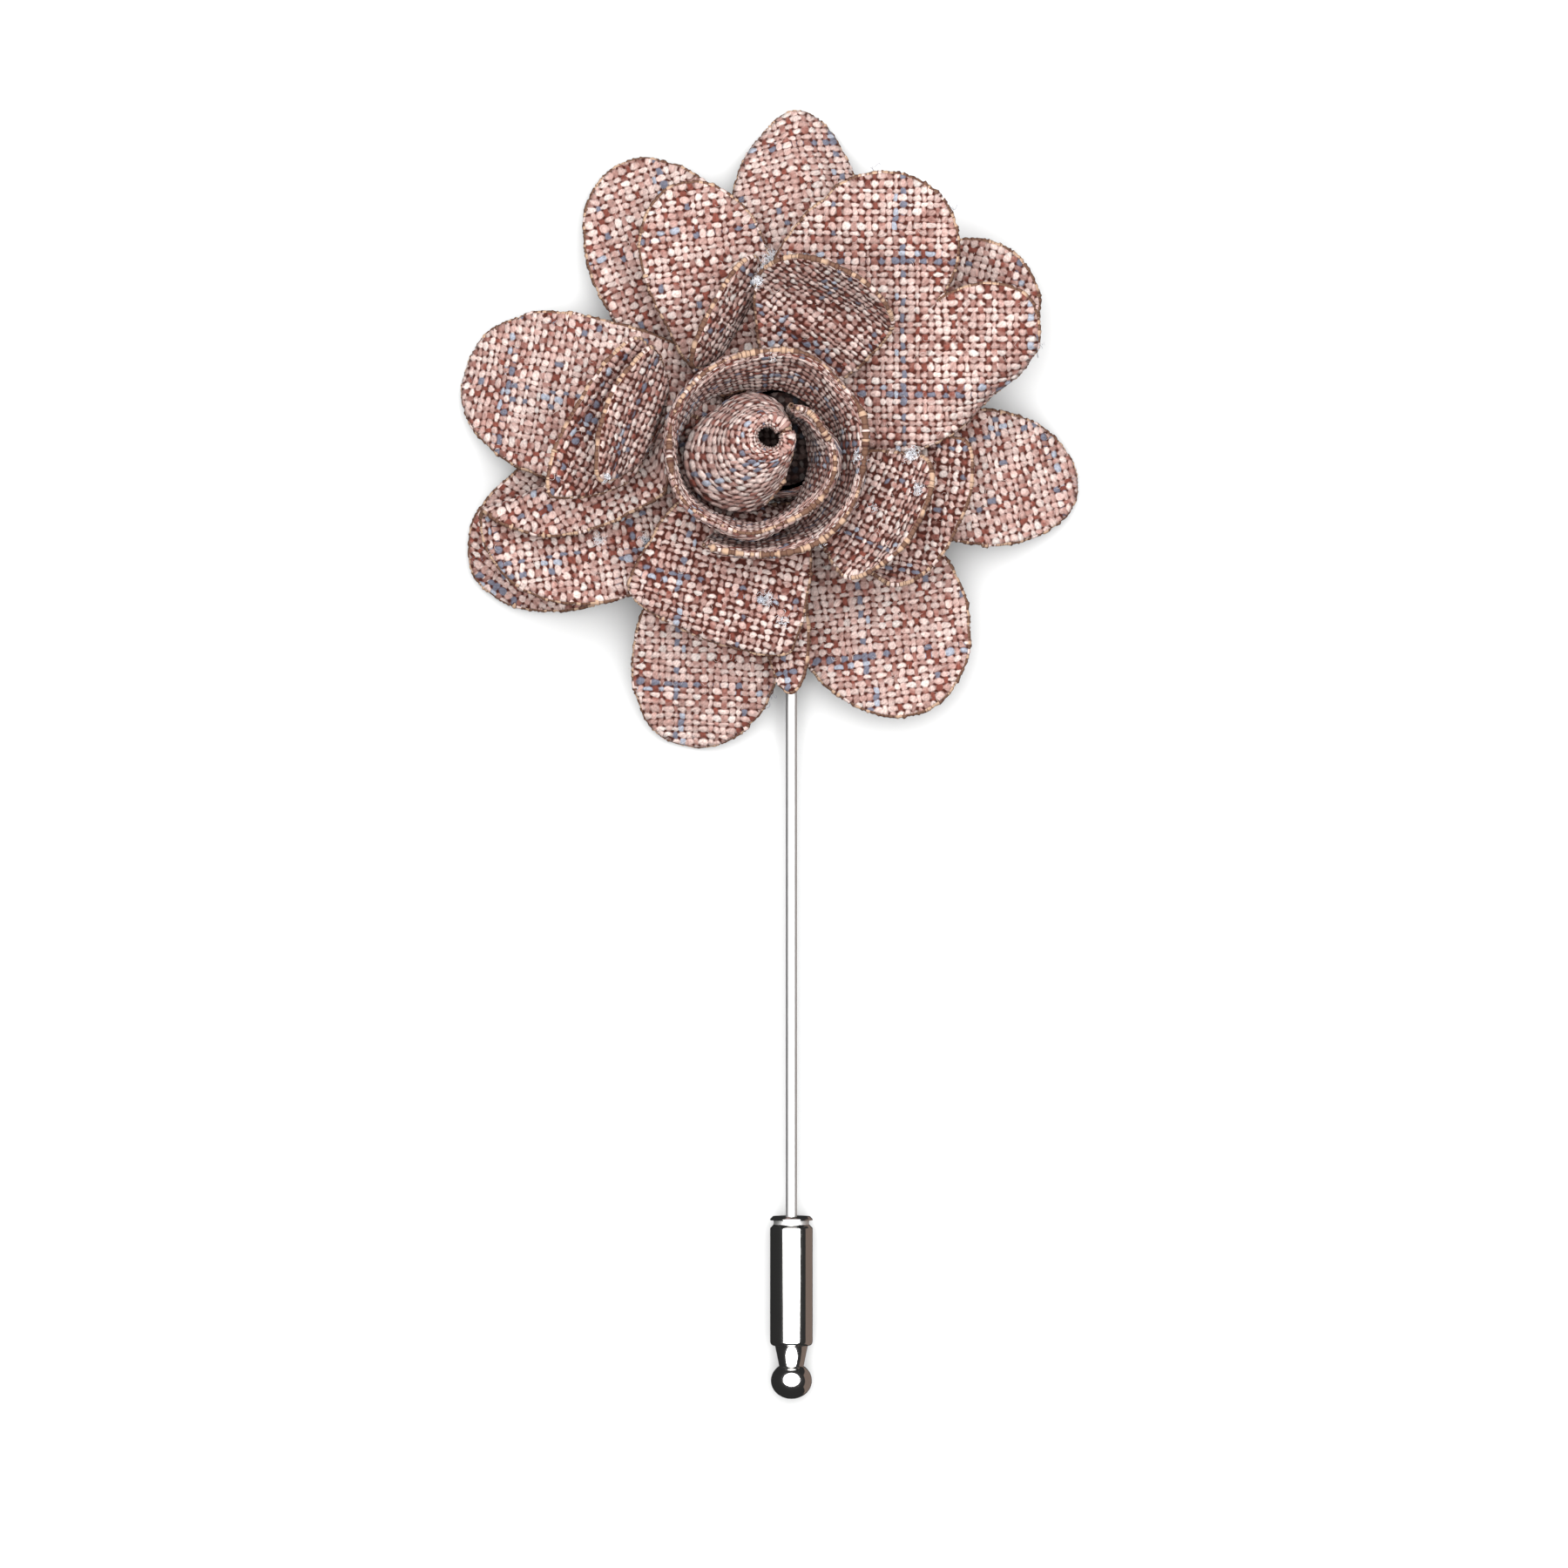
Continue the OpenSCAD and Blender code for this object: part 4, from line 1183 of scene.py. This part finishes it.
class StageSettings(bpy.types.PropertyGroup):
    """Camera, light and floor."""

    distance: FloatProperty(
        name="Camera height", description="Height of the camera above the pin", default=0.75, unit="LENGTH")
    frame_size: FloatProperty(
        name="Frame", description="Size of the square that the picture shows", default=0.1125, unit="LENGTH")
    floor: FloatVectorProperty(
        name="Floor", description="Colour of the table", subtype="COLOR", default=(0.4, 0.4, 0.4))
    light_size: FloatProperty(
        name="Light size", description="Width of the soft light", default=2.1, unit="LENGTH")
    light_place: FloatVectorProperty(
        name="Light place", description="Middle of the soft light", subtype="TRANSLATION",
        default=(0.03, 0.32, 0.95))
    key: FloatProperty(name="Key light", description="Power of the soft light", default=73.0)
    card_size: FloatProperty(
        name="Card size", description="Side of the card at the right", default=1.6, unit="LENGTH")
    card_place: FloatVectorProperty(
        name="Card place", description="Middle of the card", subtype="TRANSLATION",
        default=(0.9, -0.1, -0.55))
    card_colour: FloatVectorProperty(
        name="Card colour", description="Warm tint of the card", subtype="COLOR", default=(1.0, 0.72, 0.58))
    card: FloatProperty(name="Card light", description="Power of the card", default=1.6)
    fill: FloatProperty(name="Sky", description="Strength of the light all round", default=0.03)


def cloth_materials(cloth, face):
    """The woven face and its rim."""
    return [shared(face, cloth_material, cloth), shared("Cut edge", rim_material, cloth)]


def make_petals(context, layer):
    """Builds the petals of one layer, each from its own row."""
    cloth = context.scene.lapel_cloth
    for number, name in enumerate(PETALS):
        if not name.startswith(layer):
            continue
        petal = Petal(name)
        # Outer petals get the least painted shade between their yarns, inner and bent ones near the bud the
        # most
        face = "Flat cloth" if layer == "outer" else "Petal cloth"
        if layer == "inner" or name in BENT_PETALS:
            face = "Bent cloth"
        piece = petal_shell(petal, cloth, 100 + number).build(name, cloth_materials(cloth, face))
        settle(piece, "flower", "petal_cloth", name)
        cut = (max(petal.width + EDGE_CUT, LEAST_CUT), max(petal.length + EDGE_CUT, LEAST_CUT))
        outline = petal.outline()
        area = polygon_area(outline) + line_length(outline) * math.pi * cloth.rim_radius / MM
        cut[0] * MM
        cut[1] * MM


class PetalLayer:
    """What the operators of the three layers of petals share."""

    def execute(self, context):
        make_petals(context, self.layer)
        return {"FINISHED"}


class LAPEL_OT_outer_petals(PetalLayer, bpy.types.Operator):
    """Adds the eight outer petals"""

    bl_idname = "lapel.outer_petals"
    bl_label = "Outer Petals"
    layer = "outer"


class LAPEL_OT_middle_petals(PetalLayer, bpy.types.Operator):
    """Adds the seven middle petals"""

    bl_idname = "lapel.middle_petals"
    bl_label = "Middle Petals"
    layer = "middle"


class LAPEL_OT_inner_petals(PetalLayer, bpy.types.Operator):
    """Adds the four inner petals"""

    bl_idname = "lapel.inner_petals"
    bl_label = "Inner Petals"
    layer = "inner"


class LAPEL_OT_bud(bpy.types.Operator):
    """Adds the coiled bud, its heart and the sewn core"""

    bl_idname = "lapel.bud"
    bl_label = "Bud"

    def execute(self, context):
        cloth = context.scene.lapel_cloth
        bent = cloth_materials(cloth, "Bent cloth")
        wrap = rolled_shell(wrap_skin, *WRAP_CUT, (3, 11), -1, cloth, 31).build("bud_wrap", bent)
        heart_length, heart_height = HEART_CUT
        heart = rolled_shell(
            heart_skin, heart_length, heart_height * (1 + HEART_LIP), (9, 4), 1, cloth, 32, "ends", True)
        heart = heart.build("bud_heart", cloth_materials(cloth, "Petal cloth"))
        for piece, name, (length, height) in ((wrap, "bud_wrap", WRAP_CUT), (heart, "bud_heart", HEART_CUT)):
            settle(piece, "flower", "petal_cloth", name)
            max(height, LEAST_CUT) * MM
            length * MM
            length * height * TURNED_EDGES * MM * MM
        core_z = PAD_TOP + GAP

        def wall(t, h):
            return round_axis(*CENTRE, CORE_R - CORE_INSET, t * TAU * NEARLY, between(core_z, CORE_TOP, h))

        core = rolled_shell(wall, *CORE_CUT, (5, 5), 1, cloth, 33, "")
        top, lid_r = CORE_TOP - core_z, CORE_R - LID_INSET
        lathe(core, [(0, 0), (0, lid_r), (top, lid_r), (top, 0)], LID_SIDES, (*CENTRE, core_z), (0, 0, 1), 2)
        # The core's lid takes a darkened copy of the cloth: painted shade in the hollow under the bud
        dark = shared("Core cloth", cloth_material, cloth, cloth.core_painted_shade)
        settle(core.build("core", [*bent, dark]), "flower", "core_cloth", "core")
        return {"FINISHED"}


class LAPEL_OT_fluff(bpy.types.Operator):
    """Adds the bloom of short fibres, the white lint and the loose threads"""

    bl_idname = "lapel.fluff"
    bl_label = "Fluff"

    def execute(self, context):
        cloth = context.scene.lapel_cloth
        lift = (cloth.thickness / 2 + cloth.relief * 0.4) / MM
        points, faces, ground, count = [], [], [], 0
        surfaces = [(petal_top(Petal(name), lift), 16, 12) for name in PETALS]
        surfaces += [(wrap_skin, 90, 5), (heart_skin, 40, 8)]
        for surface, rows, cols in surfaces:
            some, quads = coarse_sheet(surface, rows, cols)
            points.append(some)
            faces += (quads + count).tolist()
            count += len(some)
            ground.append(coarse_sheet(surface, 4 * rows, 8 * cols)[0])
        bloom = shared("Bloom", fibre_material, cloth.peach, cloth.cream)
        grow("bloom", np.concatenate(points), faces, True, cloth.bloom_density, cloth.bloom_length,
             cloth.fibre_radius, 7, bloom)
        ground = np.concatenate(ground)
        white = shared("White lint", fibre_material, cloth.lint, cloth.lint)
        blue = shared("Blue threads", fibre_material, cloth.blue, cloth.pale_blue)
        # Each row ends with the radius beside the bloom's, the length and how near cloth has to be
        for name, places, finish, radius, length, reach in (
                ("lint", LINT, white, 1.0, 0.0004, 0.3), ("threads", THREADS, blue, 1.3, 0.0007, 0.8)):
            rng = np.random.default_rng(len(places))
            spots = []
            for x, y, width, number in places:
                height = drop_on(ground, x, y, reach)
                if height > TABLE_Z:
                    spread = rng.normal(0, 1, (number, 3)) * [width * share for share in TUFT]
                    spots.append(spread + (x, y, height + width * TUFT_LIFT))
            grow(name, np.concatenate(spots), [], False, 0.0, length, cloth.fibre_radius * radius, 9, finish)
        return {"FINISHED"}


class LAPEL_OT_pin(bpy.types.Operator):
    """Adds the stick pin with its pad and stem"""

    bl_idname = "lapel.pin"
    bl_label = "Pin"

    def execute(self, context):
        metal = context.scene.lapel_metal
        tip, stem_end = SHANK_LEN + POINT_LEN, -CENTRE[1] - PAD_D / 4
        stem_r, wire_r = STEM_D / 2, WIRE_D / 2
        wire = rounded([
            (stem_end, 0), (stem_end, stem_r), (0, stem_r), (STEM_SHOULDER, wire_r), (SHANK_LEN, wire_r),
            (tip, POINT_END_R), (tip, 0)], WIRE_ROUND)
        pad = rounded([(0, 0), (0, PAD_D / 2), (PAD_T, PAD_D / 2), (PAD_T, 0)], PAD_ROUND)
        shell = Shell()
        lathe(shell, wire, metal.sides, (0, 0, 0), (0, -1, 0))
        lathe(shell, pad, metal.sides, (*CENTRE, PAD_Z), (0, 0, 1))
        steel = shared("Plated steel", metal_material, metal.steel, metal.satin)
        settle(shell.build("pin", [steel]), "flower", "steel_pin", "pin")
        return {"FINISHED"}


class LAPEL_OT_clutch(bpy.types.Operator):
    """Adds the turned clutch"""

    bl_idname = "lapel.clutch"
    bl_label = "Clutch"

    def execute(self, context):
        metal = context.scene.lapel_metal
        r = CLUTCH_D / 2
        neck_z = BARREL_LEN + NECK_LEN
        meet = math.acos(NECK_END_D / BALL_D)
        ball_z = neck_z + BALL_LEN / 2 * math.sin(meet)
        mouth = rounded([
            (BORE_DEPTH, 0), (BORE_DEPTH, BORE_R), (0, BORE_R), (0, r - MOUTH_BEVEL), (MOUTH_BEVEL, r),
            (RIM_T, r), (RIM_T, r - GROOVE), (RIM_T + GROOVE_W, r - GROOVE), (RIM_T + GROOVE_W + GROOVE, r),
            (BARREL_LEN - 0.01, r)], CLUTCH_ROUND)[:-1]
        shoulder = [
            (BARREL_LEN - SHOULDER_R * (1 - math.sin(a)), r - SHOULDER_R * (1 - math.cos(a)))
            for a in np.linspace(0, math.pi / 2, 9)]
        neck = rounded([shoulder[-1], (BARREL_LEN, NECK_D / 2), (neck_z, NECK_END_D / 2)], NECK_ROUND)[1:]
        ball = [
            (ball_z + BALL_LEN / 2 * math.sin(a), BALL_D / 2 * math.cos(a))
            for a in np.linspace(-meet, math.pi / 2, 40)][1:]
        profile = np.array(mouth + shoulder + neck + ball)
        at, from_axis = ((profile[1:] + profile[:-1]) / 2).T
        satin = (at > RIM_T) & (at < RIM_T + GROOVE_W) & (from_axis > BORE_R + 0.05)
        shell = Shell()
        lathe(shell, profile, metal.sides, (0, -SHANK_LEN, 0), (0, -1, 0), np.repeat(satin, metal.sides))
        chrome = shared("Polished chrome", metal_material, metal.chrome, metal.polish)
        turned = shared("Turned groove", metal_material, metal.chrome, metal.satin)
        settle(shell.build("clutch", [chrome, turned]), "clutch", "chrome_clutch", "clutch")
        return {"FINISHED"}


def add_light(name, shape, size, power, place, colour=(1, 1, 1), turn=0):
    """A soft light, turned about the Y axis."""
    light = bpy.data.lights.new(name, "AREA")
    light.shape = shape
    light.size = size
    light.energy = power
    light.color = colour
    lamp = link(name, light)
    lamp.location = place
    lamp.rotation_euler = (0, math.radians(turn), 0)


class LAPEL_OT_stage(bpy.types.Operator):
    """Adds the table, the soft light and the camera"""

    bl_idname = "lapel.stage"
    bl_label = "Stage"

    def execute(self, context):
        stage = context.scene.lapel_stage
        scene = context.scene
        scene.view_settings.view_transform = "Standard"
        mesh = bpy.data.meshes.new("table")
        corners = [(-1, -1), (1, -1), (1, 1), (-1, 1)]
        mesh.from_pydata(
            [(x * TABLE_HALF, y * TABLE_HALF, TABLE_Z * MM) for x, y in corners], [], [(0, 1, 2, 3)])
        matt = {"Base Color": rgba(stage.floor), "Roughness": 0.9, "Specular IOR Level": 0.1}
        mesh.materials.append(new_material("Table", matt)[0])
        floor = link("table", mesh)
        floor.visible_glossy = False
        add_light("key", "DISK", stage.light_size, stage.key, stage.light_place)
        add_light(
            "card", "SQUARE", stage.card_size, stage.card, stage.card_place, stage.card_colour, CARD_TILT)
        world = bpy.data.worlds.new("studio")
        world.use_nodes = True
        sky = world.node_tree.nodes["Background"]
        sky.inputs["Color"].default_value = (1, 1, 1, 1)
        sky.inputs["Strength"].default_value = stage.fill
        scene.world = world
        lens = bpy.data.cameras.new("camera")
        lens.sensor_width = SENSOR
        lens.lens = SENSOR * stage.distance / stage.frame_size
        lens.clip_end = 10
        scene.camera = link("camera", lens)
        scene.camera.location = (PICTURE_MIDDLE[0] * MM, PICTURE_MIDDLE[1] * MM, stage.distance)
        return {"FINISHED"}


OPERATORS = (
    LAPEL_OT_stage, LAPEL_OT_pin, LAPEL_OT_clutch, LAPEL_OT_outer_petals, LAPEL_OT_middle_petals,
    LAPEL_OT_inner_petals, LAPEL_OT_bud, LAPEL_OT_fluff)


class LAPEL_PT_panel(bpy.types.Panel):
    """Lists the pieces of the lapel pin"""

    bl_idname = "LAPEL_PT_panel"
    bl_label = "Lapel Pin"
    bl_space_type = "VIEW_3D"
    bl_region_type = "UI"
    bl_category = "Lapel Pin"

    def draw(self, context):
        for operator in OPERATORS:
            self.layout.operator(operator.bl_idname)


CLASSES = (ClothSettings, MetalSettings, StageSettings, *OPERATORS, LAPEL_PT_panel)


def register():
    for item in CLASSES:
        bpy.utils.register_class(item)
    bpy.types.Scene.lapel_cloth = PointerProperty(type=ClothSettings)
    bpy.types.Scene.lapel_metal = PointerProperty(type=MetalSettings)
    bpy.types.Scene.lapel_stage = PointerProperty(type=StageSettings)


def unregister():
    del bpy.types.Scene.lapel_stage
    del bpy.types.Scene.lapel_metal
    del bpy.types.Scene.lapel_cloth
    for item in reversed(CLASSES):
        bpy.utils.unregister_class(item)


def main():
    register()
    bpy.ops.lapel.stage()
    bpy.ops.lapel.pin()
    bpy.ops.lapel.clutch()
    bpy.ops.lapel.outer_petals()
    bpy.ops.lapel.middle_petals()
    bpy.ops.lapel.inner_petals()
    bpy.ops.lapel.bud()
    bpy.ops.lapel.fluff()


if __name__ == "__main__":
    main()
